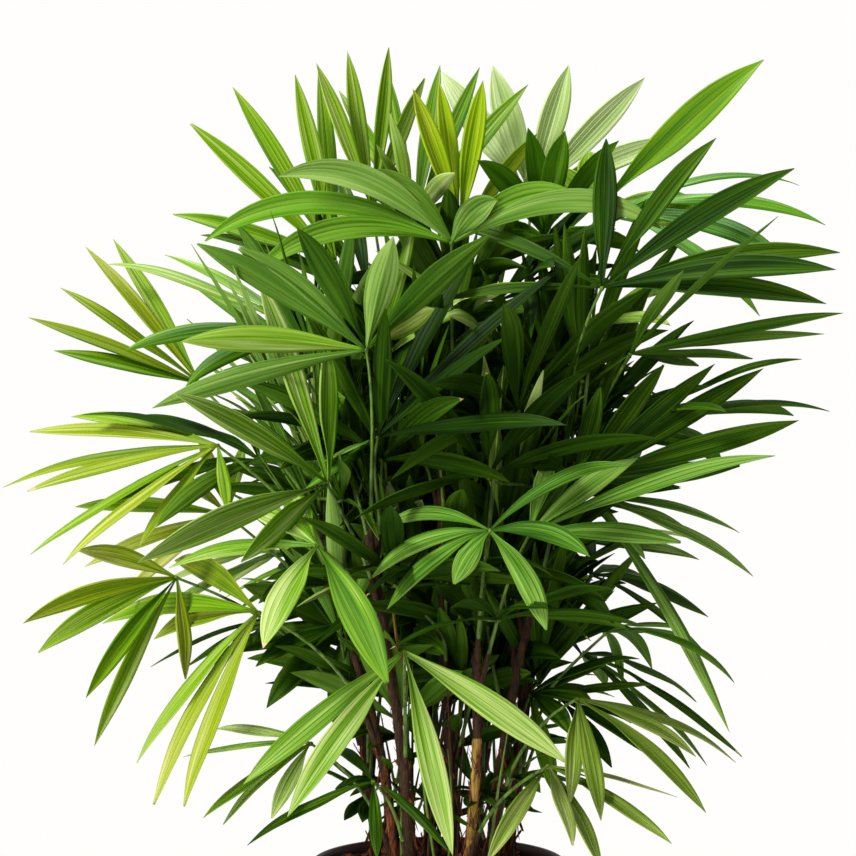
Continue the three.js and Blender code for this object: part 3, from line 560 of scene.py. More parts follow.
# %% Settle every frond
outer_fronds = [f for f in fronds if not f.stem]
for order, frond in enumerate(outer_fronds):
    frond.name = f"frond_{order + 1:02d}"
    frond.cane = nearest_cane(frond)
for order, frond in enumerate(fronds):
    frond.seed = order + 1
    frond.name = frond.name or frond.stem.name

clouds = {name: points_of(name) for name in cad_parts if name.startswith("frond")}
growing, leaflets, missed = [], [], 0
for frond in fronds:
    frond.stalk = settled_stalk(frond, clouds[frond.name])
    if frond.stalk is None:
        print("left out of the solids: a younger frond of", frond.name)
        continue
    growing.append(frond)
    for index in range(len(frond.leaflets)):
        places, forwards, acrosses, lengths, width = leaflet_paths(frond, index, LEAFLET_CHOICES)
        offsets = nearest(places[:, -1], clouds[frond.name])
        k = int(np.argmin(offsets))
        if offsets[k] > MATCH:
            missed += 1
            continue
        leaflets.append((frond, index, places[k], forwards[k], acrosses[k], lengths[k], width))
print("growing:", len(growing), "fronds,", len(leaflets), "leaflets;", missed, "leaflets left out")

# %% [markdown]
# ## Younger growth in the heart
#
# The solids hold the fronds that make the plant's outline. Inside them a real clump is dark with
# younger growth: short upright fans on thin stalks, several to a cane. They could be copies of the
# outer fronds made smaller, but copies would cut through each other. So they follow the same rule, on
# a spiral that spreads them evenly through the heart, with its front half folded back to keep them
# behind the front stalks. Each leaflet takes the possible move that brings it clearest of the blades
# around it, and is left out where none is clear. A search tree of points along the blades makes that
# test quick.

# %% List the younger fronds
YOUNG_COUNT = 92
YOUNG_LEAFLETS = (-62, -37, -12, 13, 38, 63)
SPEAR_LEAFLETS = (-25, -15, -5, 5, 15, 25)  # a fan that has only just opened
YOUNG_LOWEST, YOUNG_HIGHEST = 450, 910
YOUNG_NEAREST, YOUNG_LOW_REACH, YOUNG_HIGH_REACH = 30, 105, 190
YOUNG_WIDEST_BELOW = 1.6  # they reach their full spread at one part in this of the way up
YOUNG_FORWARD = 25  # they stand no further than this in front of the clump's middle
YOUNG_RISE, SPEAR_RISE = 62, 82
YOUNG_DROOP, SPEAR_DROOP = 26, 8
YOUNG_SPREAD = {"facing": 55, "rise": 18, "spear rise": 6, "roll": 40, "length": 0.16, "droop": 14}
LIGHTER_SIDE = -105  # younger fronds further to the left than this get more light, and are paler
YOUNG_LENGTH = 205
YOUNG_WIDTH, SPEAR_WIDTH = 26, 19
# the younger fronds of the heart take the heart and deep tints, painted shade of the inner crown
YOUNG_TINTS = ("heart",) * 8 + ("deep",) * 2
LIGHTER_TINTS = ("deep", "mid", "green")
GOLDEN_ANGLE = 137.5
CLEAR_OF_BLADES = 4.5  # millimetres between the middle lines of two blades
FIRST_FREE_STEP = 6  # nearer the hub than this, the leaflets of one fan touch anyway


def young_frond(i):
    share = (i + 0.5) / YOUNG_COUNT
    azimuth = i * GOLDEN_ANGLE
    far = YOUNG_LOW_REACH + (YOUNG_HIGH_REACH - YOUNG_LOW_REACH) * min(1, share * YOUNG_WIDEST_BELOW)
    reach = YOUNG_NEAREST + (far - YOUNG_NEAREST) * math.sqrt(chance(i, 1, 31))
    x, y, z = around(azimuth, reach, YOUNG_LOWEST + (YOUNG_HIGHEST - YOUNG_LOWEST) * share)
    rise = YOUNG_RISE + jitter(YOUNG_SPREAD["rise"], i, 3, 31)
    droop = YOUNG_DROOP + jitter(YOUNG_SPREAD["droop"], i, 6, 31)
    spear_rise = SPEAR_RISE + jitter(YOUNG_SPREAD["spear rise"], i, 3, 31)
    is_spear = i % 2 == 1
    tints = LIGHTER_TINTS if x < LIGHTER_SIDE else YOUNG_TINTS
    return Frond(
        (x, max(y, -y) - YOUNG_FORWARD, z),
        azimuth + jitter(YOUNG_SPREAD["facing"], i, 2, 31),
        spear_rise if is_spear else rise,
        jitter(YOUNG_SPREAD["roll"], i, 4, 31),
        SPEAR_LEAFLETS if is_spear else YOUNG_LEAFLETS,
        YOUNG_LENGTH * (1 + jitter(YOUNG_SPREAD["length"], i, 5, 31)),
        SPEAR_WIDTH if is_spear else YOUNG_WIDTH,
        SPEAR_DROOP if is_spear else droop,
        tints[int(len(tints) * chance(i, 7, 31))],
    )


# %% A few more younger fronds, placed one by one
# Each row is one of FRONDS: hub, azimuth, rise, roll, leaflets, length, width, droop, tint.
FAN_OF_EIGHT = (-92, -66, -42, -18, 8, 34, 60, 86)
FAN_OF_SIX = (-72, -44, -16, 14, 42, 70)
SPEAR_OF_FOUR = (-11, -4, 4, 11)
PLACED_YOUNG = [
    ((136, 50, 1072), 10, 45, 0, FAN_OF_EIGHT, 170, 30, 40, "bright"),
    ((-36, 60, 1089), -60, 60, 0, FAN_OF_SIX, 165, 28, 25, "green"),
    ((100, 60, 1120), 90, 78, 0, (0,), 80, 24, 2, "straw"),
    ((110, 20, 1010), 60, 40, 20, FAN_OF_SIX, 180, 30, 34, "heart"),
    ((20, 30, 1010), -10, 55, 0, FAN_OF_SIX, 180, 28, 30, "heart"),
    ((-117, 20, 582), -80, -10, -50, FAN_OF_SIX, 150, 34, 14, "deep"),
    ((115, 0, 496), 70, 10, 30, FAN_OF_SIX, 150, 28, 30, "deep"),
    ((156, 60, 482), 110, 20, 20, FAN_OF_SIX, 130, 28, 30, "deep"),
    ((76, -20, 716), 0, 88, 0, SPEAR_OF_FOUR, 200, 20, 2, "green"),
    ((40, 0, 740), 180, 86, 0, SPEAR_OF_FOUR, 190, 18, 2, "green"),
    ((-115, -40, 815), 0, 87, 0, (-5, 6), 225, 22, 2, "deep"),
    ((21, 30, 486), 0, 40, 0, FAN_OF_SIX, 130, 24, 40, "heart"),
    ((90, 20, 431), 60, 45, 0, FAN_OF_SIX, 120, 24, 30, "heart"),
    ((-48, 10, 438), -60, 40, 0, FAN_OF_SIX, 120, 24, 30, "heart"),
    ((-73, -60, 812), -60, -25, 10, (-14, 20), 105, 44, 34, "mid"),
    ((-62, -20, 392), -50, 30, 0, FAN_OF_SIX, 105, 20, 30, "heart"),
    ((-20, -34, 372), -20, 30, 0, FAN_OF_SIX, 95, 20, 36, "heart"),
    ((46, -30, 380), 30, 30, 0, FAN_OF_SIX, 100, 20, 36, "heart"),
    ((92, -24, 396), 60, 30, 0, FAN_OF_SIX, 105, 20, 30, "heart"),
    ((12, 20, 420), 0, 50, 0, FAN_OF_SIX, 120, 22, 24, "heart"),
    ((-84, 30, 366), -80, 20, 0, FAN_OF_SIX, 100, 20, 34, "deep"),
    ((64, 50, 352), 20, 40, 0, FAN_OF_SIX, 100, 20, 34, "heart"),
    ((2, 60, 560), 0, 60, 0, FAN_OF_SIX, 150, 24, 24, "heart"),
    ((60, 70, 560), 40, 60, 0, FAN_OF_SIX, 150, 24, 24, "heart"),
    ((-30, 30, 640), -20, 74, 0, FAN_OF_SIX, 170, 24, 16, "heart"),
    ((90, 60, 640), 30, 74, 0, FAN_OF_SIX, 170, 24, 16, "heart"),
    ((140, 70, 600), 80, 50, 0, FAN_OF_SIX, 150, 24, 24, "heart"),
    ((60, 10, 840), 20, 66, 0, FAN_OF_SIX, 180, 26, 24, "heart"),
    ((-20, 40, 900), -20, 60, 0, FAN_OF_SIX, 180, 26, 30, "heart"),
    ((120, 90, 880), 40, 60, 0, FAN_OF_SIX, 180, 26, 30, "heart"),
    ((180, 80, 820), 70, 50, 0, FAN_OF_SIX, 170, 26, 30, "heart"),
]

young = [young_frond(i) for i in range(YOUNG_COUNT)] + [Frond(*row) for row in PLACED_YOUNG]
for order, frond in enumerate(young):
    frond.seed = len(fronds) + 1 + order
    frond.cane = nearest_cane(frond)
    frond.stalk = (0, 0)
    frond.name = min(outer_fronds, key=lambda older: np.linalg.norm(older.hub - frond.hub)).name

# %% Find room for their leaflets
settled_count = len(leaflets)
for frond in young:
    blades = kdtree.KDTree(sum(len(x[2]) for x in leaflets))
    for number, leaflet in enumerate(leaflets):
        for place in leaflet[2]:
            blades.insert(place, number)
    blades.balance()
    growing.append(frond)
    for index in range(len(frond.leaflets)):
        places, forwards, acrosses, lengths, width = leaflet_paths(frond, index, LEAFLET_CHOICES)
        room = [min(blades.find(place)[2] for place in way[FIRST_FREE_STEP::2]) for way in places]
        k = int(np.argmax(room))
        if room[k] > CLEAR_OF_BLADES:
            leaflets.append((frond, index, places[k], forwards[k], acrosses[k], lengths[k], width))
print("younger fronds:", len(young), "with", len(leaflets) - settled_count, "leaflets")

# %% [markdown]
# ## Leaf finishes
#
# A palm leaflet has a satin waxy upper face and a duller underside. The darker lines where it is
# creased are painted shade, for the shade that falls in its folds. Its colour runs along it in
# irregular bands, from deep green to pale; the palest part is partly the leaf's own pale bands and
# partly painted sheen. Two noise patterns stretched along the blade's own UV map make them: one of
# wide bands, about a quarter of the width, and one of veins. Real veins are half a millimetre apart,
# and would be lost from a few steps away, so they are drawn two to three millimetres apart. An
# attribute named "shade" makes each leaflet a little lighter or darker than the next, as leaves of
# different age are. Light that falls through a thin leaf makes its underside glow, so the underside
# is given a lighter colour of its own, a painted glow.

# %% Make the leaf materials
BANDS, BAND_STRETCH = 3.5, 0.9  # bands across a blade, and how many times they change along it
VEINS, VEIN_STRETCH = 13, 1.6
VEIN_SHARE = 0.4  # of the colour's changes that come from the veins
VEIN_RELIEF = 0.25 * MM

TINTS = {  # upper face: dark, middle, pale; underside: dark, middle, pale; crease
    # lime and fresh: partly the leaves' own yellow-green and partly a painted glow, for light falling
    # through backlit leaves
    "lime": (("#4c7006", "#86980e", "#b2b268"), ("#66820c", "#96a42c", "#bac084"), "#466c04"),
    "fresh": (("#3e6c02", "#729806", "#a6b464"), ("#56840a", "#82a424", "#aebc78"), "#366202"),
    "straw": (("#709a04", "#98b208", "#bcc04c"), ("#80a008", "#a4ba1c", "#c2c664"), "#789a04"),
    "green": (("#306004", "#669012", "#b0c074"), ("#487a0c", "#7ea02e", "#b6c680"), "#2a5404"),
    "bright": (("#1e4c02", "#387002", "#629818"), ("#346404", "#4e8010", "#74a030"), "#184202"),
    "olive": (("#466408", "#7a9430", "#b2be70"), ("#5c7818", "#8aa242", "#b6c27c"), "#3c5806"),
    # mid, deep and heart: ever darker greens, painted shade for leaves in half shade, in shade and deep in
    # the inner crown
    "mid": (("#204606", "#467416", "#82a648"), ("#345c12", "#5a822a", "#8aa854"), "#1c3806"),
    "deep": (("#0e2602", "#284a04", "#527414"), ("#1e3e06", "#3c6210", "#60822a"), "#0a1c02"),
    "pale": (("#809a4e", "#a8be78", "#ccd8aa"), ("#90a862", "#b4c88a", "#d0dcb2"), "#849c50"),
    "heart": (("#0a1a02", "#1b3603", "#3e600e"), ("#142802", "#284804", "#486a14"), "#081402"),
}
LIME_MIX = ("lime",) * 5 + ("fresh",) * 4  # side by side on one lime frond
MIXED_FANS = {  # the tint of each leaflet, by the frond's number, where one fan lies half in the shade
    1: ("bright", "bright", "mid", "deep", "mid", "bright", "mid"),
    4: ("mid", "green", "mid", "mid", "deep", "mid", "deep", "olive"),
}
# the last stop, each face's pale colour, is partly the leaf's own pale bands and partly painted sheen
RAMP_STOPS = (0.31, 0.5, 0.71)
GLOSS, DEEP_GLOSS = 0.12, 0.045  # the dark tints of painted shade shine less
UPPER_ROUGHNESS, UNDER_ROUGHNESS, CREASE_SHADE_ROUGHNESS, DRY_ROUGHNESS = 0.45, 0.65, 0.5, 0.8
DRY_TIP = ("#8a6434", "#b89c5c", "#d0be84")


def leaflet_tint(frond, index):
    if frond.seed in MIXED_FANS:
        return MIXED_FANS[frond.seed][index]
    if frond.tint != "lime":
        return frond.tint
    return LIME_MIX[int(len(LIME_MIX) * chance(frond.seed, index, 33))]


def leaf_material(name, colours, roughness, gloss):
    """Waxy leaf tissue: banded along its veins, and lighter or darker from leaflet to leaflet."""
    tree, shader, material = new_material(name)
    blade = add_node(tree, "ShaderNodeUVMap", {"uv_map": "blade"})
    noises = []
    for across, along in ((BANDS, BAND_STRETCH), (VEINS, VEIN_STRETCH)):
        stretch = add_node(
            tree, "ShaderNodeMapping", {"Scale": (across, along, 1)}, {"Vector": blade.outputs[0]}
        )
        noise = add_node(
            tree, "ShaderNodeTexNoise", {"Scale": 1, "Detail": 2}, {"Vector": stretch.outputs[0]}
        )
        noises.append(noise.outputs["Fac"])
    both = add_node(tree, "ShaderNodeMix", {"Factor": VEIN_SHARE}, {2: noises[0], 3: noises[1]})
    shade = add_node(tree, "ShaderNodeAttribute", {"attribute_name": "shade"})
    shaded = add_node(
        tree,
        "ShaderNodeMath",
        {"operation": "ADD"},
        {0: both.outputs[0], 1: shade.outputs["Fac"]},
    )
    ramp = add_node(tree, "ShaderNodeValToRGB", links={"Fac": shaded.outputs[0]})
    ramp.color_ramp.elements.new(0.5)
    for stop, position, colour in zip(ramp.color_ramp.elements, RAMP_STOPS, colours):
        stop.position = position
        stop.color = linear(colour)
    relief = add_node(
        tree, "ShaderNodeBump", {"Strength": 0.5, "Distance": VEIN_RELIEF}, {"Height": noises[1]}
    )
    tree.links.new(ramp.outputs[0], shader.inputs["Base Color"])
    tree.links.new(relief.outputs[0], shader.inputs["Normal"])
    shader.inputs["Roughness"].default_value = roughness
    shader.inputs["Specular IOR Level"].default_value = gloss
    return material


leaf_materials = {}
for tint, (upper, under, crease_shade) in TINTS.items():
    gloss = DEEP_GLOSS if tint in ("deep", "mid", "heart") else GLOSS
    # the crease material is painted shade for the folds: the crease colour, then the upper dark and middle
    crease_shade_colours = (crease_shade, *upper[:2])
    leaf_materials[tint] = [
        leaf_material(f"waxy_{tint}_leaf", upper, UPPER_ROUGHNESS, gloss),
        leaf_material(f"dull_{tint}_underside", under, UNDER_ROUGHNESS, DEEP_GLOSS),
        leaf_material(f"creases_in_{tint}_leaf", crease_shade_colours, CREASE_SHADE_ROUGHNESS, gloss),
        leaf_material(f"dry_{tint}_leaf_tip", DRY_TIP, DRY_ROUGHNESS, gloss),
    ]
print("leaf materials:", sum(len(m) for m in leaf_materials.values()))

# %% [markdown]
# ## Pleated leaflets
#
# Each leaflet is a thin shell, folded like a gutter at its root and flatter towards its tip, with
# three to six raised ribs and a valley between each two. A thousand of them are needed, all alike in
# build and each different in size, so they are made from arrays of points: a grid of rows along the
# blade and columns across it, once for the upper face and once for the underside.

# %% The columns and rows of a blade
BLADE_ROWS = 24
YOUNG_ROWS = 15
RIB_HALF_WIDTH = 0.4  # millimetres
BLADE_THICKNESS = 0.5
BLADE_WIDTH_SHARE = 1.06  # of the solid's width; folding the blade makes it narrower again
PLEAT_SHARE = 0.032  # how high a rib stands over the middle, of the width
PLEAT_FADE, PLEAT_FADES_FROM = 0.6, 0.7  # how much of that is lost to the tip, and from where on
GUTTER_AT_ROOT = 55  # degrees that each half is folded up at the root
GUTTER_AT_TIP = 16
GUTTER_LENGTH = 0.45  # of the blade, over which it opens to the fold of its tip
ARCHED_DROOP = 30  # a leaflet that bends further than this, in degrees,
ARCHED_AT_TIP = -16  # has its edges turned down instead
RIBS_BY_WIDTH = ((22, 3), (27, 4), (34, 5), (99, 6))
YOUNG_RIBS = 3
EDGE_HEIGHT = -0.4  # of a pleat's height, where a rib stands at 1 and a valley at -1
SHARPEST_TIP, BLUNTEST_TIP = 0.012, 0.14  # the width left at the tip, and how much more a few keep
TIP_TEETH = 0.1  # how far a blunt tip's valleys stop short of its ribs
BLADE_SPREAD = {"twist": 16, "fold": 0.5, "sideways": 0.02}
RIPPLE_HEIGHT, RIPPLES = 1.2, 1.4  # millimetres at the tip, and waves along the blade
DRY_TIP_SHARE, DRY_FROM, DRY_SPREAD = 0.14, 0.93, 0.05  # of the leaflets, and of a blade's length
FROND_SHADE, LEAFLET_SHADE, TIP_SHADE = 0.07, 0.09, 0.14  # tips are lighter than roots
PATTERN_STRAY = 40  # how far the pattern is moved from one leaflet to the next
UPPER, UNDER, CREASE_SHADE, DRY = range(4)  # the places of the four leaf materials


def blade_columns(width, ribs):
    """Where the columns stand across a blade, from -1 to 1, with their pleat height and their kind."""
    half = RIB_HALF_WIDTH / (width / 2)
    spots, heights, is_rib = [-1.0], [EDGE_HEIGHT], []
    for k in range(ribs):
        middle = (2 * k + 1) / ribs - 1
        if k:
            spots.append(middle - 1 / ribs)
            heights.append(-1.0)
            is_rib.append(False)
        spots += [middle - half, middle + half]
        heights += [1.0, 1.0]
        is_rib += [False, True]
    return np.array([*spots, 1.0]), np.array([*heights, EDGE_HEIGHT]), np.array([*is_rib, False])


def eased(t, start, end):
    """0 before start, 1 after end, and smooth between."""
    share = np.clip((t - start) / (end - start), 0, 1)
    return share * share * (3 - 2 * share)


# %% The ways across and up at each row of a blade
def at_steps(values, steps):
    """The values of a leaflet's path, read between its steps."""
    numbers = np.arange(LEAFLET_STEPS + 1)
    return np.stack([np.interp(steps, numbers, values[:, axis]) for axis in range(3)], -1)


def blade_ways(rows, forwards, acrosses, twist):
    """The ways across and up at each row, turned about the blade by the twist towards its tip."""
    steps = rows * LEAFLET_STEPS
    way = unit(at_steps(forwards, steps))
    across = at_steps(acrosses, steps)
    across = unit(across - way * (across * way).sum(-1, keepdims=True))
    upward = np.cross(way, across)
    twist = np.radians(twist) * rows[:, None] ** 1.5
    return (
        across * np.cos(twist) + upward * np.sin(twist),
        upward * np.cos(twist) - across * np.sin(twist),
    )


# %% The quads of a thin shell
def shell_quads(row_count, columns):
    """The quads of a shell's upper face, of its underside, and of the rim between the two."""
    r, c = np.meshgrid(np.arange(row_count - 1), np.arange(columns - 1), indexing="ij")
    corner = (r * columns + c).ravel()
    top = np.stack([corner, corner + columns, corner + columns + 1, corner + 1], 1)
    below = row_count * columns
    left = np.arange(row_count - 1) * columns
    right = left + columns - 1
    root = np.arange(columns - 1)
    tip = root + (row_count - 1) * columns
    rim = np.concatenate(
        [
            np.stack([left, left + below, left + columns + below, left + columns], 1),
            np.stack([right + columns, right + columns + below, right + below, right], 1),
            np.stack([root + 1, root + 1 + below, root + below, root], 1),
            np.stack([tip, tip + below, tip + 1 + below, tip + 1], 1),
        ]
    )
    return top, top[:, ::-1] + below, rim


# %% The surface of a blade
def blade_surface(frond, index, rows, blunt, spots, heights, path, length, width):
    """The middle layer of a blade, row by row, and the way up at each row."""
    seed = frond.seed
    places, forwards, acrosses = path
    share = np.interp(rows, *WIDTH_AT.T)
    share[1:-1] = (share[:-2] + 2 * share[1:-1] + share[2:]) / 4
    half = width / 2 * (share + blunt * rows**9)
    along = rows[:, None]
    reach = along - blunt * TIP_TEETH * along**8 * (1 - heights) / 2
    middle = at_steps(places, reach * LEAFLET_STEPS)
    twist = jitter(BLADE_SPREAD["twist"], seed, index, 22)
    across, upward = blade_ways(rows, forwards, acrosses, twist)

    gutter_at_tip = ARCHED_AT_TIP if frond.droop > ARCHED_DROOP else GUTTER_AT_TIP
    gutter = gutter_at_tip + (GUTTER_AT_ROOT - gutter_at_tip) * (1 - eased(rows, 0, GUTTER_LENGTH))
    gutter = np.radians(gutter * (1 + jitter(BLADE_SPREAD["fold"], seed, index, 23)))[:, None]
    fade = 1 - PLEAT_FADE * eased(rows, PLEAT_FADES_FROM, 1)
    pleat = (PLEAT_SHARE * width * share * fade)[:, None]
    side = half[:, None] * spots * np.cos(gutter)
    height = half[:, None] * np.abs(spots) * np.sin(gutter) + pleat * heights
    drift = jitter(BLADE_SPREAD["sideways"], seed, index, 24) * length * along**2
    ripple = RIPPLE_HEIGHT * along * np.sin(2 * math.pi * (RIPPLES * along + chance(seed, index, 25)))
    aside = across[:, None] * (side + drift)[..., None]
    return middle + aside + upward[:, None] * (height + ripple)[..., None], upward


# %% One leaflet as points, faces, materials, UVs and shade
def leaflet_shell(frond, index, places, forwards, acrosses, length, width):
    seed = frond.seed
    width *= BLADE_WIDTH_SHARE
    is_young = seed > len(fronds)
    ribs = YOUNG_RIBS if is_young else next(count for limit, count in RIBS_BY_WIDTH if width < limit)
    spots, heights, is_rib = blade_columns(width, ribs)
    rows = np.linspace(0, 1, YOUNG_ROWS if is_young else BLADE_ROWS)
    blunt = BLUNTEST_TIP * chance(seed, index, 21) ** 4 + SHARPEST_TIP
    path = (places, forwards, acrosses)
    surface, upward = blade_surface(frond, index, rows, blunt, spots, heights, path, length, width)
    shift = upward[:, None] * BLADE_THICKNESS / 2
    points = np.concatenate([(surface + shift).reshape(-1, 3), (surface - shift).reshape(-1, 3)])

    top, bottom, rim = shell_quads(len(rows), len(spots))
    is_dry_leaf = not is_young and chance(seed, index, 26) <= DRY_TIP_SHARE
    dry_from = DRY_FROM + DRY_SPREAD * chance(seed, index, 27) if is_dry_leaf else math.inf
    is_dry = np.repeat(rows[:-1] >= dry_from, len(spots) - 1)
    # the rib strips take the painted crease shade
    upper_kind = np.where(is_dry, DRY, np.where(np.tile(is_rib, len(rows) - 1), CREASE_SHADE, UPPER))
    under_kind = np.where(is_dry, DRY, UNDER)
    kinds = np.concatenate([upper_kind, under_kind, np.full(len(rim), UNDER)])

    grain = np.stack(np.broadcast_arrays((spots + 1) / 2, rows[:, None]), -1).reshape(-1, 2)
    uvs = np.tile(grain, (2, 1)) + (chance(seed, index, 28) * PATTERN_STRAY, 0)
    own_shade = jitter(FROND_SHADE, seed, 0, 29) + jitter(LEAFLET_SHADE, seed, index, 30)
    shade = own_shade + TIP_SHADE * (rows - 0.5)
    faces = np.concatenate([top, bottom, rim])
    return points, faces, kinds, uvs, np.tile(np.repeat(shade, len(spots)), 2)


# %% Join shells into one piece
def mesh_piece(name, shells, materials):
    """A mesh object in metres from a list of points, quads, materials, UVs and shades in millimetres."""
    starts = np.cumsum([0] + [len(s[0]) for s in shells[:-1]])
    points = np.concatenate([s[0] for s in shells]) * MM
    faces = np.concatenate([s[1] + start for s, start in zip(shells, starts)])
    kinds = np.concatenate([s[2] for s in shells])
    uvs = np.concatenate([s[3] for s in shells])
    shade = np.concatenate([s[4] for s in shells])
    mesh = bpy.data.meshes.new(name)
    mesh.vertices.add(len(points))
    mesh.vertices.foreach_set("co", points.astype(np.float32).ravel())
    mesh.loops.add(faces.size)
    mesh.loops.foreach_set("vertex_index", faces.astype(np.int32).ravel())
    mesh.polygons.add(len(faces))
    mesh.polygons.foreach_set("loop_start", np.arange(0, faces.size, 4, dtype=np.int32))
    mesh.update(calc_edges=True)
    mesh.validate()
    mesh.polygons.foreach_set("material_index", kinds.astype(np.int32))
    mesh.polygons.foreach_set("use_smooth", np.full(len(faces), True))
    mesh.uv_layers.new(name="blade").data.foreach_set("uv", uvs[faces.ravel()].astype(np.float32).ravel())
    mesh.attributes.new("shade", "FLOAT", "POINT").data.foreach_set("value", shade.astype(np.float32))
    for material in materials:
        mesh.materials.append(material)
    piece = bpy.data.objects.new(name, mesh)
    bpy.context.scene.collection.objects.link(piece)
    return piece


# %% Grow the leaflets, tint by tint
MOST_QUADS = 90_000  # two triangles each, so a piece stays under 200,000 triangles
pieces = []
for tint, materials in leaf_materials.items():
    batches, count = [[]], 0
    for leaflet in (x for x in leaflets if leaflet_tint(x[0], x[1]) == tint):
        shell = leaflet_shell(*leaflet)
        if count + len(shell[1]) > MOST_QUADS:
            batches.append([])
            count = 0
        batches[-1].append((leaflet[0].name, shell))
        count += len(shell[1])
    for number, batch in enumerate(batches, 1):
        piece = mesh_piece(f"leaflets_{tint}_{number}", [shell for _, shell in batch], materials)
        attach(piece, "root")
        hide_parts(*sorted({name for name, _ in batch}))
        pieces.append(piece)
        print(piece.name, len(batch), "leaflets,", 2 * len(piece.data.polygons), "triangles")

# %% [markdown]
# ## Stalks and sheaths
#
# A stalk is a smooth green rod that thins towards its hub, where a small knob holds the leaflets. At
# its foot it is wrapped in a brown fibrous sheath. Both follow a path, so Geometry Nodes make them: a
# mesh of bare edges holds the paths with the radius at each point, and one tree turns the edges into
# curves and sweeps a round profile along them.


# %% How every tree starts and ends
def new_geometry_tree(name, inputs):
    """A Geometry Nodes tree with the named inputs, and its input node."""
    tree = bpy.data.node_groups.new(name, "GeometryNodeTree")
    for label, kind in {"Geometry": "Geometry", **inputs}.items():
        tree.interface.new_socket(label, in_out="INPUT", socket_type=f"NodeSocket{kind}")
    tree.interface.new_socket("Geometry", in_out="OUTPUT", socket_type="NodeSocketGeometry")
    return tree, add_node(tree, "NodeGroupInput")


def end_tree(tree, geometry, finish):
    """Copies made real, as only real meshes can be kept, and the finish set on all of them."""
    real = add_node(tree, "GeometryNodeRealizeInstances", links={"Geometry": geometry})
    links = {"Geometry": real.outputs["Geometry"], "Material": finish}
    finished = add_node(tree, "GeometryNodeSetMaterial", links=links)
    add_node(tree, "NodeGroupOutput", links={"Geometry": finished.outputs["Geometry"]})
    return tree


# %% A node tree that turns edges into round rods
def rod_tree():
    inputs = {"Sides": "Int", "Thickness": "Float", "Finish": "Material"}
    tree, given = new_geometry_tree("rods_along_edges", inputs)
    girth = add_node(tree, "GeometryNodeInputNamedAttribute", {"data_type": "FLOAT", "Name": "girth"})
    scaled = add_node(
        tree,
        "ShaderNodeMath",
        {"operation": "MULTIPLY"},
        {0: girth.outputs["Attribute"], 1: given.outputs["Thickness"]},
    )
    curve = add_node(tree, "GeometryNodeMeshToCurve", links={"Mesh": given.outputs["Geometry"]})
    profile = add_node(
        tree,
        "GeometryNodeCurvePrimitiveCircle",
        {"Radius": 1.0},
        {"Resolution": given.outputs["Sides"]},
    )
    swept = add_node(
        tree,
        "GeometryNodeCurveToMesh",
        {"Fill Caps": True},
        {
            "Curve": curve.outputs["Curve"],
            "Profile Curve": profile.outputs["Curve"],
            "Scale": scaled.outputs[0],
        },
    )
    smooth = add_node(tree, "GeometryNodeSetShadeSmooth", links={"Geometry": swept.outputs["Mesh"]})
    return end_tree(tree, smooth.outputs["Geometry"], given.outputs["Finish"])


# %% Run a tree on a piece and keep the result as a plain mesh
def grown(name, base, tree, inputs):
    """base run through a node tree whose inputs are set by their sockets' identifiers."""
    carrier = bpy.data.objects.new(f"{name}_base", base)
    bpy.context.scene.collection.objects.link(carrier)
    modifier = carrier.modifiers.new(tree.name, "NODES")
    modifier.node_group = tree
    for item in tree.interface.items_tree:
        if item.in_out == "INPUT" and item.name in inputs:
            modifier[item.identifier] = inputs[item.name]
    bpy.context.view_layer.update()
    evaluated = carrier.evaluated_get(bpy.context.evaluated_depsgraph_get())
    mesh = bpy.data.meshes.new_from_object(evaluated)
    carrier.modifiers.remove(modifier)
    bpy.data.objects.remove(carrier)
    mesh.name = name
    piece = bpy.data.objects.new(name, mesh)
    bpy.context.scene.collection.objects.link(piece)
    return piece


def edge_mesh(name, paths):
    """A mesh of bare edges from a list of (points in millimetres, radii in millimetres)."""
    points, edges, girths = [], [], []
    for places, radii in paths:
        start = len(points)
        points += [tuple(p * MM) for p in places]
        edges += [(start + i, start + i + 1) for i in range(len(places) - 1)]
        girths += [r * MM for r in radii]
    mesh = bpy.data.meshes.new(name)
    mesh.from_pydata(points, edges, [])
    mesh.attributes.new("girth", "FLOAT", "POINT").data.foreach_set("value", girths)
    return mesh


# %% Stalk and sheath finishes
def fibrous_material(name, dark, light, roughness, along):
    """Fibre, bark or a stalk: light and dark streaks. along says how many fit in a metre on each axis,
    so 160 across and 30 upwards make streaks of 6 by 33 millimetres."""
    tree, shader, material = new_material(name)
    place = add_node(tree, "ShaderNodeTexCoord")
    stretch = add_node(tree, "ShaderNodeMapping", {"Scale": along}, {"Vector": place.outputs["Object"]})
    streaks = add_node(
        tree,
        "ShaderNodeTexNoise",
        {"Scale": 1, "Detail": 4, "Roughness": 0.65},
        {"Vector": stretch.outputs[0]},
    )
    ramp = add_node(tree, "ShaderNodeValToRGB", links={"Fac": streaks.outputs["Fac"]})
    for stop, position, colour in zip(ramp.color_ramp.elements, (0.35, 0.65), (dark, light)):
        stop.position = position
        stop.color = linear(colour)
    relief = add_node(
        tree,
        "ShaderNodeBump",
        {"Strength": 0.6, "Distance": 0.6 * MM},
        {"Height": streaks.outputs["Fac"]},
    )
    tree.links.new(ramp.outputs[0], shader.inputs["Base Color"])
    tree.links.new(relief.outputs[0], shader.inputs["Normal"])
    shader.inputs["Roughness"].default_value = roughness
    shader.inputs["Specular IOR Level"].default_value = 0.3
    return material


# Stalks shine softly and are streaked along their length. A fresh sheath is tan and papery, an old one
# dark brown and rough like sacking, and the damp ones at the soil are redder.
green_stalk = fibrous_material("smooth_green_stalk", "#263f0c", "#6a8a2c", 0.45, (160, 160, 30))
brown_sheath = fibrous_material("woven_brown_sheath", "#120a05", "#4a3018", 0.9, (420, 420, 60))
tan_sheath = fibrous_material("dry_tan_sheath", "#5e4016", "#b48c3e", 0.85, (300, 300, 24))
red_sheath = fibrous_material("damp_red_brown_sheath", "#3a160a", "#8a4a26", 0.85, (360, 360, 50))

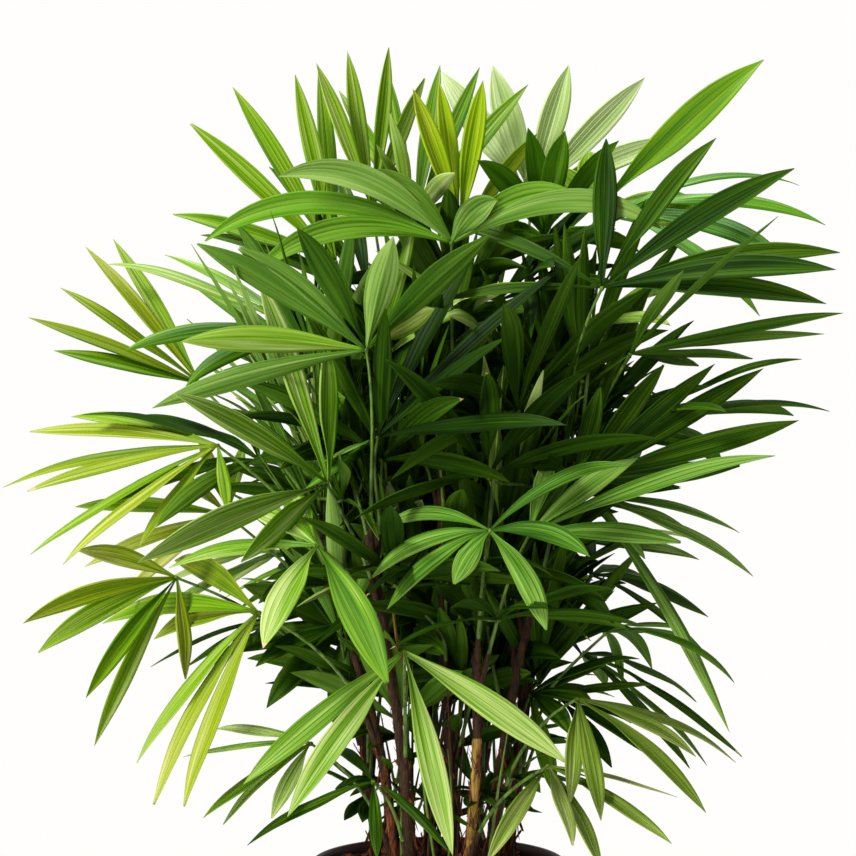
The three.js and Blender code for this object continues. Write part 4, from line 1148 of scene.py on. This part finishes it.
# %% Sweep the stalks
STALK_POINTS = 14
STALK_FOOT = 2.7  # radius in millimetres where it leaves its sheath
STALK_NECK = 1.7  # and below the hub
KNOB = ((0, 2.7), (1.6, 3.1), (3.2, 2.5), (4.6, 1.0))  # how far past the neck, and how thick
STALK_END = 0.985  # of its curve, so that it stops inside the knob
KNOB_SET_BACK = 1.5
SHEATH_SHARE = 0.2  # of the stalk's length, from the cane
SHEATH_POINTS = 6
SHEATH_FOOT = 5.2
SHEATH_TOP = 3.0
STALK_SIDES, SHEATH_SIDES, SHOOT_SIDES = 10, 9, 8

stalk_paths, sheath_paths = [], []
for frond in growing:
    curve = stalk_curve(frond, *frond.stalk)
    t = np.linspace(0, STALK_END, STALK_POINTS)
    way = bezier_way(curve, 1)
    places = [*bezier(curve, t), *(curve[3] + way * (ahead - KNOB_SET_BACK) for ahead, _ in KNOB)]
    radii = [*(STALK_FOOT + (STALK_NECK - STALK_FOOT) * t), *(radius for _, radius in KNOB)]
    stalk_paths.append((places, radii))
    t = np.linspace(0, SHEATH_SHARE, SHEATH_POINTS)
    if not frond.stem:
        radii = SHEATH_FOOT + (SHEATH_TOP - SHEATH_FOOT) * t / SHEATH_SHARE
        sheath_paths.append((bezier(curve, t), radii))

rods = rod_tree()


def rods_along(name, paths, sides, finish):
    """Round rods along paths in millimetres, as one piece."""
    inputs = {"Sides": sides, "Thickness": 1.0, "Finish": finish}
    return grown(name, edge_mesh(f"{name}_lines", paths), rods, inputs)


stalks = rods_along("stalks", stalk_paths, STALK_SIDES, green_stalk)
sheaths = rods_along("sheaths", sheath_paths, SHEATH_SIDES, brown_sheath)
frond_nodes = sorted({f.name for f in growing})
for piece in (stalks, sheaths):
    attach(piece, "root")
    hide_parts(*frond_nodes)
print("stalks:", len(stalk_paths), "rods,", len(stalks.data.polygons), "faces")

# %% [markdown]
# ## Closed young leaves
#
# A new palm leaf comes up closed, as a green spear, and lower down a bare young shoot is wrapped in a
# tan or brown sheath. A few tall ones stand among the stalks and short ones round the feet of the
# canes. Each is a rod that thins to a point, so the tree that swept the stalks makes them too.

# %% Closed young leaves among the stalks and at the feet of the canes
SHOOTS = [  # foot, tip, radius at the foot, finish
    ((46, -90, 556), (78, -104, 905), 3.4, "green"),
    ((4, -50, 640), (-4, -96, 832), 2.8, "green"),
    ((-44, -70, 540), (-50, -84, 700), 2.4, "tan"),
    ((58, -60, 279), (84, -96, 470), 2.2, "green"),
]
LOW_SHOOTS = 22
LOW_SHOOT_FOOT = 275
LOW_SHOOT_SPREAD = (80, -70)  # how far they stand from the middle, sideways and to the front
LOW_SHOOT_LEAN = (0.35, 0.3)  # how far they lean out, as a share of that
LOW_SHOOT_STRAY = 34
LOW_SHOOT_HEIGHT, LOW_SHOOT_GAIN = 130, 150
LOW_SHOOT_RADIUS = 1.6
SHOOT_POINTS, SHOOT_BOW, SHOOT_THINNING = 9, 9, 0.8


def low_shoot(i):
    turn = math.radians(i * GOLDEN_ANGLE)
    wide, deep = LOW_SHOOT_SPREAD
    foot = (wide * math.sqrt(chance(i, 1, 45)) * math.sin(turn), deep * math.cos(turn), LOW_SHOOT_FOOT)
    foot = np.array(foot)
    outward = foot[:2] * LOW_SHOOT_LEAN
    height = LOW_SHOOT_HEIGHT + LOW_SHOOT_GAIN * chance(i, 3, 45)
    lean = np.array((jitter(LOW_SHOOT_STRAY, i, 2, 45) + outward[0], outward[1], height))
    radius = LOW_SHOOT_RADIUS + LOW_SHOOT_RADIUS * chance(i, 4, 45)
    return foot, foot + lean, radius, "brown" if i % 3 else "green"


shoots = SHOOTS + [low_shoot(i) for i in range(LOW_SHOOTS)]
shoot_finishes = {"green": green_stalk, "tan": tan_sheath, "brown": brown_sheath}
for number, (kind, finish) in enumerate(shoot_finishes.items(), 1):
    shoot_paths = []
    for i, (foot, tip, radius, own_kind) in enumerate(shoots):
        if own_kind != kind:
            continue
        t = np.linspace(0, 1, SHOOT_POINTS)[:, None]
        bow = np.array((jitter(SHOOT_BOW, i, 1, 46), jitter(SHOOT_BOW, i, 2, 46), 0)) * np.sin(math.pi * t)
        places = foot + (np.array(tip) - foot) * t + bow
        shoot_paths.append((places, radius * (1 - SHOOT_THINNING * t[:, 0] ** 2)))
    closed = rods_along(f"closed_leaves_{number}", shoot_paths, SHOOT_SIDES, finish)
    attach(closed, "root")
    print(closed.name, len(shoot_paths), kind, "shoots")

# %% [markdown]
# ## Canes
#
# Each cane is no thicker than a finger and is wrapped in one old leaf sheath over another. Every
# sheath swells a little towards its torn upper edge and leaves a step there. A mesh of rings up the
# cane holds those steps better than a bump pattern would, and loose fibres are laid over it
# afterwards. Most sheaths are dark brown; two canes show a stretch of a tan and of a red one.

# %% Build the canes
CANE_ROWS_EVERY = 4.0  # millimetres
CANE_SIDES = 20
SHEATH_EVERY = 41.0
CANE_SHARE = 0.68  # of the solid's radius, under the fibres
SHEATH_SWELL = 0.14
CANE_TIP_RINGS = (0.6, 0.06)  # the last two rings, which close the top
PATCHES = {  # cane: the stretch of its height that shows one sheath's own finish, and its place
    "cane_1": (0.0, 0.42, 2),
    "cane_4": (0.12, 0.62, 1),
}
RIDGES, RIDGE_ROWS = 0.05, 9  # how far fibres stand out, of the radius, and how many rings they last


def quads_of_rings(rows, sides):
    """Quads that skin rows of points, closed round the sides."""
    r, s = np.meshgrid(np.arange(rows - 1), np.arange(sides), indexing="ij")
    a = (r * sides + s).ravel()
    b = (r * sides + (s + 1) % sides).ravel()
    return np.stack([a, b, b + sides, a + sides], 1)


def end_quads(corners):
    """Quads that close a ring, fanned out from its first corner."""
    return [[corners[0], *corners[k + 1 : k + 4]] for k in range(0, len(corners) - 2, 2)]


def cane_shell(name, number):
    span = cane_middle(name, 1)[2] - SOIL_TOP
    rows = int(span / CANE_ROWS_EVERY)
    t = np.linspace(0, 1, rows)
    middle = np.array([cane_middle(name, x) for x in t])
    plain = np.array([cane_radius(name, x) for x in t])
    height = t * span
    phase = (height / SHEATH_EVERY + chance(number, 1, 41)) % 1
    radius = plain * (CANE_SHARE + SHEATH_SWELL * phase**2)
    radius[-2:] *= CANE_TIP_RINGS
    angle = np.linspace(0, 2 * math.pi, CANE_SIDES, endpoint=False)
    sides = range(CANE_SIDES)
    ridge = [[jitter(RIDGES, number, i // RIDGE_ROWS, 50 + s) for s in sides] for i in range(rows)]
    radius = radius[:, None] * (1 + np.array(ridge))
    ring = np.stack([np.cos(angle), np.sin(angle), np.zeros(CANE_SIDES)], -1)
    points = (middle[:, None] + ring * radius[..., None]).reshape(-1, 3)
    foot = end_quads([0, *sides[:0:-1]])
    last = (rows - 1) * CANE_SIDES
    top = end_quads(range(last, last + CANE_SIDES))
    faces = np.concatenate([quads_of_rings(rows, CANE_SIDES), foot, top])
    low, high, kind = PATCHES.get(name, (0, 0, 0))
    row = faces.min(1) // CANE_SIDES
    kinds = np.where((row >= rows * low) & (row < rows * high), kind, 0)
    return points, faces, kinds, np.zeros((len(points), 2)), np.zeros(len(points))


cane_finishes = [brown_sheath, tan_sheath, red_sheath]
canes = mesh_piece("canes", [cane_shell(name, i) for i, name in enumerate(CANES)], cane_finishes)
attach(canes, "root")
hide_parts(*CANES)
print("canes:", len(canes.data.polygons), "faces")

# %% [markdown]
# ## Scattered fibres and bark chips
#
# Loose fibres lie on the canes, and chips of bark cover the soil. Both are small things scattered at
# random over a surface. A hair system would be lost in the export, so one Geometry Nodes tree serves
# for both: it drops points on the faces, sets a small piece on each, turns and scales it, and makes
# the copies real.


# %% A node tree that scatters pieces over a surface
def scatter_tree():
    inputs = {
        "Piece": "Object",
        "Number per square metre": "Float",
        "Smallest": "Float",
        "Largest": "Float",
        "Lean": "Float",
        "Turn": "Float",
        "Seed": "Int",
        "Finish": "Material",
    }
    tree, given = new_geometry_tree("pieces_scattered_on_a_surface", inputs)
    spots = add_node(
        tree,
        "GeometryNodeDistributePointsOnFaces",
        links={
            "Mesh": given.outputs["Geometry"],
            "Density": given.outputs["Number per square metre"],
            "Seed": given.outputs["Seed"],
        },
    )
    piece = add_node(tree, "GeometryNodeObjectInfo", links={"Object": given.outputs["Piece"]})

    def between(low, high, seed):
        """A number drawn for each copy between two others."""
        settings = {"data_type": "FLOAT", "Seed": seed}
        return add_node(tree, "FunctionNodeRandomValue", settings, {2: low, 3: high}).outputs[1]

    angles = {}
    for axis, name in enumerate(("Lean", "Lean", "Turn")):
        most = given.outputs[name]
        least = add_node(tree, "ShaderNodeMath", {"operation": "MULTIPLY", 1: -1.0}, {0: most})
        angles[axis] = between(least.outputs[0], most, 7 + axis)
    turn = add_node(tree, "ShaderNodeCombineXYZ", links=angles)
    size = between(given.outputs["Smallest"], given.outputs["Largest"], 11)
    tilted = add_node(
        tree,
        "FunctionNodeRotateRotation",
        {"rotation_space": "LOCAL"},
        {"Rotation": spots.outputs["Rotation"], "Rotate By": turn.outputs[0]},
    )
    copies = add_node(
        tree,
        "GeometryNodeInstanceOnPoints",
        links={
            "Points": spots.outputs["Points"],
            "Instance": piece.outputs["Geometry"],
            "Rotation": tilted.outputs[0],
            "Scale": size,
        },
    )
    return end_tree(tree, copies.outputs[0], given.outputs["Finish"])


# %% Small pieces to scatter
ROUNDED_BEYOND, ROUNDING = 0.7, 0.8  # corners further out than this, of a unit block, are drawn in


def small_piece(name, size, rough, seed):
    """A small closed block of the given size in millimetres, with its corners moved at random."""
    work = bmesh.new()
    bmesh.ops.create_cube(work, size=1)
    bmesh.ops.subdivide_edges(work, edges=work.edges[:], cuts=1, use_grid_fill=True)
    for i, vert in enumerate(work.verts):
        if vert.co.length > ROUNDED_BEYOND:
            vert.co *= ROUNDING
        for axis in range(3):
            vert.co[axis] = (vert.co[axis] + jitter(rough, seed, i, axis)) * size[axis] * MM
    mesh = bpy.data.meshes.new(name)
    work.to_mesh(mesh)
    work.free()
    return bpy.data.objects.new(name, mesh)


scatter = scatter_tree()


def scattered(name, base, shape, finish, number, sizes, lean, turn, seed):
    """Copies of a shape over a base mesh: so many per square metre, scaled between two sizes, and
    leaned and turned by up to these angles in radians."""
    inputs = {
        "Piece": shape,
        "Number per square metre": number,
        "Smallest": sizes[0],
        "Largest": sizes[1],
        "Lean": lean,
        "Turn": turn,
        "Seed": seed,
        "Finish": finish,
    }
    return grown(name, base, scatter, inputs)


print("inputs of the scatter tree:", len(scatter.interface.items_tree) - 1)

# %% The bed of soil
# The bed is warm red-brown: dry chips catch the light over dark soil and crumbs, whose dark is
# partly their own colour and partly painted shade, for the gaps between the chips.
bark_light = fibrous_material("weathered_bark_chips", "#3a160c", "#9c4e2a", 0.9, (90, 90, 90))
crumbs_and_gap_shade = fibrous_material("damp_bark_crumbs", "#160a06", "#4a2212", 0.9, (140, 140, 140))
soil_low, soil_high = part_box("soil")
WALL_CLEARANCE = 0.4 * MM
SOIL_RADIUS = soil_high.x - WALL_CLEARANCE
SOIL_FOOT_RADIUS = 107.0
SOIL_RINGS = 16
SOIL_SIDES = 72
SOIL_LUMPS = 3.0  # millimetres up and down
SOIL_EDGE_DROP = 4.0
HOLE_RADIUS = 0.1  # the rings that close the middle are this small, in millimetres
MULCH_TOP = 279  # the bark lies this high, on the soil
MULCH_EDGE = 12 * MM  # between the bark and the pot's wall
soil_radii = [SOIL_RADIUS * k / SOIL_RINGS for k in range(1, SOIL_RINGS + 1)]


def soil_shell():
    """A closed slab with a lumpy top, filling the pot from rim to floor."""
    angle = np.linspace(0, 2 * math.pi, SOIL_SIDES, endpoint=False)
    ring = np.stack([np.cos(angle), np.sin(angle)], -1)
    rows = [ring * HOLE_RADIUS, ring * SOIL_FOOT_RADIUS, ring * soil_radii[-1] / MM]
    heights = [np.full(SOIL_SIDES, soil_low.z / MM)] * 2
    heights.append(np.full(SOIL_SIDES, MULCH_TOP - SOIL_EDGE_DROP))
    level = MULCH_TOP - SOIL_LUMPS
    for k in range(SOIL_RINGS - 1, 0, -1):
        rows.append(ring * soil_radii[k - 1] / MM)
        heights.append(np.array([level + jitter(SOIL_LUMPS, k, s, 71) for s in range(SOIL_SIDES)]))
    rows.append(ring * HOLE_RADIUS)
    heights.append(np.full(SOIL_SIDES, level))
    points = np.concatenate([np.column_stack([row, height]) for row, height in zip(rows, heights)])
    faces = quads_of_rings(len(rows), SOIL_SIDES)
    return points, faces, np.zeros(len(faces), int), np.zeros((len(points), 2)), np.zeros(len(points))


# the soil under the chips: dark partly in its own colour and partly as painted shade in the gaps
soil = mesh_piece("soil_bed", [soil_shell()], [crumbs_and_gap_shade])
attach(soil, "root")
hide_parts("soil")
print("soil:", len(soil.data.polygons), "faces")

# %% Bark chips on the soil
bed = bpy.data.meshes.new("bed")
work = bmesh.new()
bmesh.ops.create_circle(work, cap_ends=True, segments=48, radius=SOIL_RADIUS - MULCH_EDGE)
bmesh.ops.translate(work, verts=work.verts[:], vec=(0, 0, MULCH_TOP * MM))
work.to_mesh(bed)
work.free()
CHIP_KINDS = [  # shape, number per square metre, finish
    (small_piece("broad_chip", (26, 13, 4), 0.1, 61), 4200.0, bark_light),
    (small_piece("long_chip", (34, 8, 5), 0.12, 62), 3400.0, bark_light),
    # crumbs: dark partly in their own colour and partly as painted shade between the chips
    (small_piece("crumb", (12, 9, 6), 0.14, 63), 9000.0, crumbs_and_gap_shade),
]
for seed, (shape, number, finish) in enumerate(CHIP_KINDS, 80):
    chips = scattered(
        f"bark_{shape.name}s",
        bed,
        shape,
        finish,
        number=number,
        sizes=(0.5, 1.15),
        lean=0.3,
        turn=math.pi,
        seed=seed,
    )
    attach(chips, "root")
    print(chips.name, len(chips.data.polygons), "faces")

# %% Fibres on the canes
FIBRE_SIZE = (0.7, 24, 0.5)  # millimetres; a real fibre is half as thick, too thin to show
fibre = small_piece("fibre", FIBRE_SIZE, 0.2, 64)
cane_skin = canes.data.copy()
fibres = scattered(
    "cane_fibres",
    cane_skin,
    fibre,
    brown_sheath,
    number=14000.0,
    sizes=(0.5, 1.3),
    lean=0.12,
    turn=0.5,
    seed=91,
)
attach(fibres, "root")
print("fibres:", len(fibres.data.polygons), "faces")

# %% [markdown]
# ## Torn sheaths
#
# Round the feet of the canes the oldest sheaths have torn into broad strips that stand off, redder
# than the fibre above. There are hundreds, all alike, so they aren't modelled one by one: the tree
# that scattered the fibres sets them too, on a copy of the canes that is cut off above their feet.

# %% Torn sheaths round the feet of the canes
FEET_TOP = 0.43  # metres above the floor
feet = canes.data.copy()
work = bmesh.new()
work.from_mesh(feet)
above = [face for face in work.faces if face.calc_center_median().z > FEET_TOP]
bmesh.ops.delete(work, geom=above, context="FACES")
work.to_mesh(feet)
work.free()
STRIP_SIZE = (3.4, 34, 1.0)  # millimetres
strip = small_piece("torn_strip", STRIP_SIZE, 0.22, 65)
strips = scattered(
    "torn_sheaths",
    feet,
    strip,
    red_sheath,
    number=5200.0,
    sizes=(0.5, 1.35),
    lean=0.4,
    turn=0.5,
    seed=92,
)
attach(strips, "root")
print("torn sheaths:", len(strips.data.polygons), "faces")

# %% [markdown]
# ## The pot
#
# The pot is injection-moulded plastic: a tapered wall, a rolled rim band, and a small step at the
# foot, all with rounded edges. It is round, so a profile is turned about the upright axis. That gives
# each edge its own rounding, which a bevelled cone would not.

# %% Turn the pot
POT_SIDES = 144
POT_PROFILE = [  # radius, height and rounding of each corner, in millimetres
    (0, 0, 0),
    (108, 0, 1.5),
    (112, 3, 2),
    (152, 270, 1),
    (159, 270, 2),
    (161, 274, 2),
    (161, 286, 3),
    (157, 290, 2.5),
    (151, 290, 2),
    (149.5, 284, 1),
    (109, 5.2, 1),
    (0, 5.2, 0),
]
CORNER_STEPS = 5
MIDDLE_RADIUS = 0.05  # the rings on the axis are this small, in millimetres


def rounded(profile):
    """The profile with each corner rounded off by a short curve."""
    result = []
    for i, (radius, height, rounding) in enumerate(profile):
        here = np.array((radius, height), float)
        if not rounding:
            result.append(here)
            continue
        before = np.array(profile[i - 1][:2], float)
        after = np.array(profile[i + 1][:2], float)
        a = here + (before - here) / np.linalg.norm(before - here) * rounding
        b = here + (after - here) / np.linalg.norm(after - here) * rounding
        for t in np.linspace(0, 1, CORNER_STEPS):
            result.append((1 - t) ** 2 * a + 2 * (1 - t) * t * here + t**2 * b)
    return result


def turned_shell(profile):
    angle = np.linspace(0, 2 * math.pi, POT_SIDES, endpoint=False)
    ring = np.stack([np.cos(angle), np.sin(angle)], -1)
    rings = [
        np.column_stack([ring * max(radius, MIDDLE_RADIUS), np.full(POT_SIDES, height)])
        for radius, height in profile
    ]
    points = np.concatenate(rings)
    faces = quads_of_rings(len(profile), POT_SIDES)
    return points, faces, np.zeros(len(faces), int), np.zeros((len(points), 2)), np.zeros(len(points))


# Dark brown plastic, glossy where it is clean and duller in patches of about 7 centimetres, where
# water and hands have left a haze.
tree, shader, moulded_plastic = new_material("moulded_dark_brown_plastic")
place = add_node(tree, "ShaderNodeTexCoord")
haze = add_node(tree, "ShaderNodeTexNoise", {"Scale": 14, "Detail": 5}, {"Vector": place.outputs["Object"]})
dull = add_node(
    tree,
    "ShaderNodeMapRange",
    {"From Min": 0.35, "From Max": 0.7, "To Min": 0.3, "To Max": 0.5},
    {"Value": haze.outputs["Fac"]},
)
tone = add_node(
    tree,
    "ShaderNodeMix",
    {"data_type": "RGBA", 6: linear("#170a07"), 7: linear("#4a1c10")},
    {0: haze.outputs["Fac"]},
)
tree.links.new(tone.outputs[2], shader.inputs["Base Color"])
tree.links.new(dull.outputs[0], shader.inputs["Roughness"])
shader.inputs["IOR"].default_value = 1.5
shader.inputs["Specular IOR Level"].default_value = 0.3

pot = mesh_piece("pot_body", [turned_shell(rounded(POT_PROFILE))], [moulded_plastic])
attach(pot, "root")
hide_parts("pot")
rim_width = 2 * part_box("pot")[1].x
print("pot:", len(pot.data.polygons), "faces, rim", round(rim_width, 3), "m across")

# %% [markdown]
# ## Floor, light and camera
#
# A pale floor and an even white surround show the crown's outline. Three soft lights model it: a key
# light from the upper left picks out the arching leaflets, one from above lightens the top of the
# crown, and a weak one from low on the left lifts the shade under the hanging leaves. The camera
# stands level with the middle of the crown, 2.7 metres away.

# %% Floor
FLOOR_RADIUS = 1.35
floor_mesh = bpy.data.meshes.new("floor")
work = bmesh.new()
bmesh.ops.create_circle(work, cap_ends=True, segments=96, radius=FLOOR_RADIUS)
work.to_mesh(floor_mesh)
work.free()
tree, shader, painted_floor = new_material("plain_white_floor")  # matt, so that it mirrors nothing
shader.inputs["Base Color"].default_value = linear("#f7f6f2")
shader.inputs["Roughness"].default_value = 0.7
floor_mesh.materials.append(painted_floor)
floor = bpy.data.objects.new("floor", floor_mesh)
bpy.context.scene.collection.objects.link(floor)

# %% The white surround
SURROUND_LIGHT = 0.45  # how strongly the white surround lights the plant
scene = bpy.context.scene
world = bpy.data.worlds.new("white_surround")
world.use_nodes = True
surround = world.node_tree.nodes["Background"]
surround.inputs["Color"].default_value = linear("#fffefc")
seen = add_node(world.node_tree, "ShaderNodeLightPath")
strength = add_node(
    world.node_tree,
    "ShaderNodeMath",
    {"operation": "MULTIPLY_ADD", 1: 1 - SURROUND_LIGHT, 2: SURROUND_LIGHT},
    {0: seen.outputs["Is Camera Ray"]},
)
world.node_tree.links.new(strength.outputs[0], surround.inputs["Strength"])
scene.world = world
scene.view_settings.view_transform = "Standard"
print("surround:", SURROUND_LIGHT, "on the plant, 1 behind it")


# %% Soft lights
def soft_light(name, place, aim, size, watts):
    lamp = bpy.data.lights.new(name, "AREA")
    lamp.shape = "DISK"
    lamp.size = size
    lamp.energy = watts
    light = bpy.data.objects.new(name, lamp)
    light.location = place
    light.rotation_euler = (Vector(aim) - Vector(place)).to_track_quat("-Z", "Y").to_euler()
    scene.collection.objects.link(light)


CROWN_MIDDLE = (0, 0, 0.8)
HANGING_LEAVES = (-0.1, 0, 0.6)
soft_light("key", (-1.9, -1.7, 2.7), CROWN_MIDDLE, size=0.9, watts=112)
soft_light("top", (0.2, 0.6, 3.2), CROWN_MIDDLE, size=1.2, watts=60)
soft_light("fill", (-1.7, -2.4, 0.45), HANGING_LEAVES, size=1.2, watts=34)

# %% Camera
CAMERA_PLACE = (-0.013, -2.7, 0.83)
FOCAL_LENGTH, SENSOR_WIDTH = 90.84, 36  # millimetres: it sees 1.07 m across in the clump's middle
lens = bpy.data.cameras.new("camera")
lens.sensor_width = SENSOR_WIDTH
lens.lens = FOCAL_LENGTH
camera = bpy.data.objects.new("camera", lens)
camera.location = CAMERA_PLACE
camera.rotation_euler = (math.pi / 2, 0, 0)
scene.collection.objects.link(camera)
scene.camera = camera
print("camera", CAMERA_PLACE, "lens", FOCAL_LENGTH, "mm")
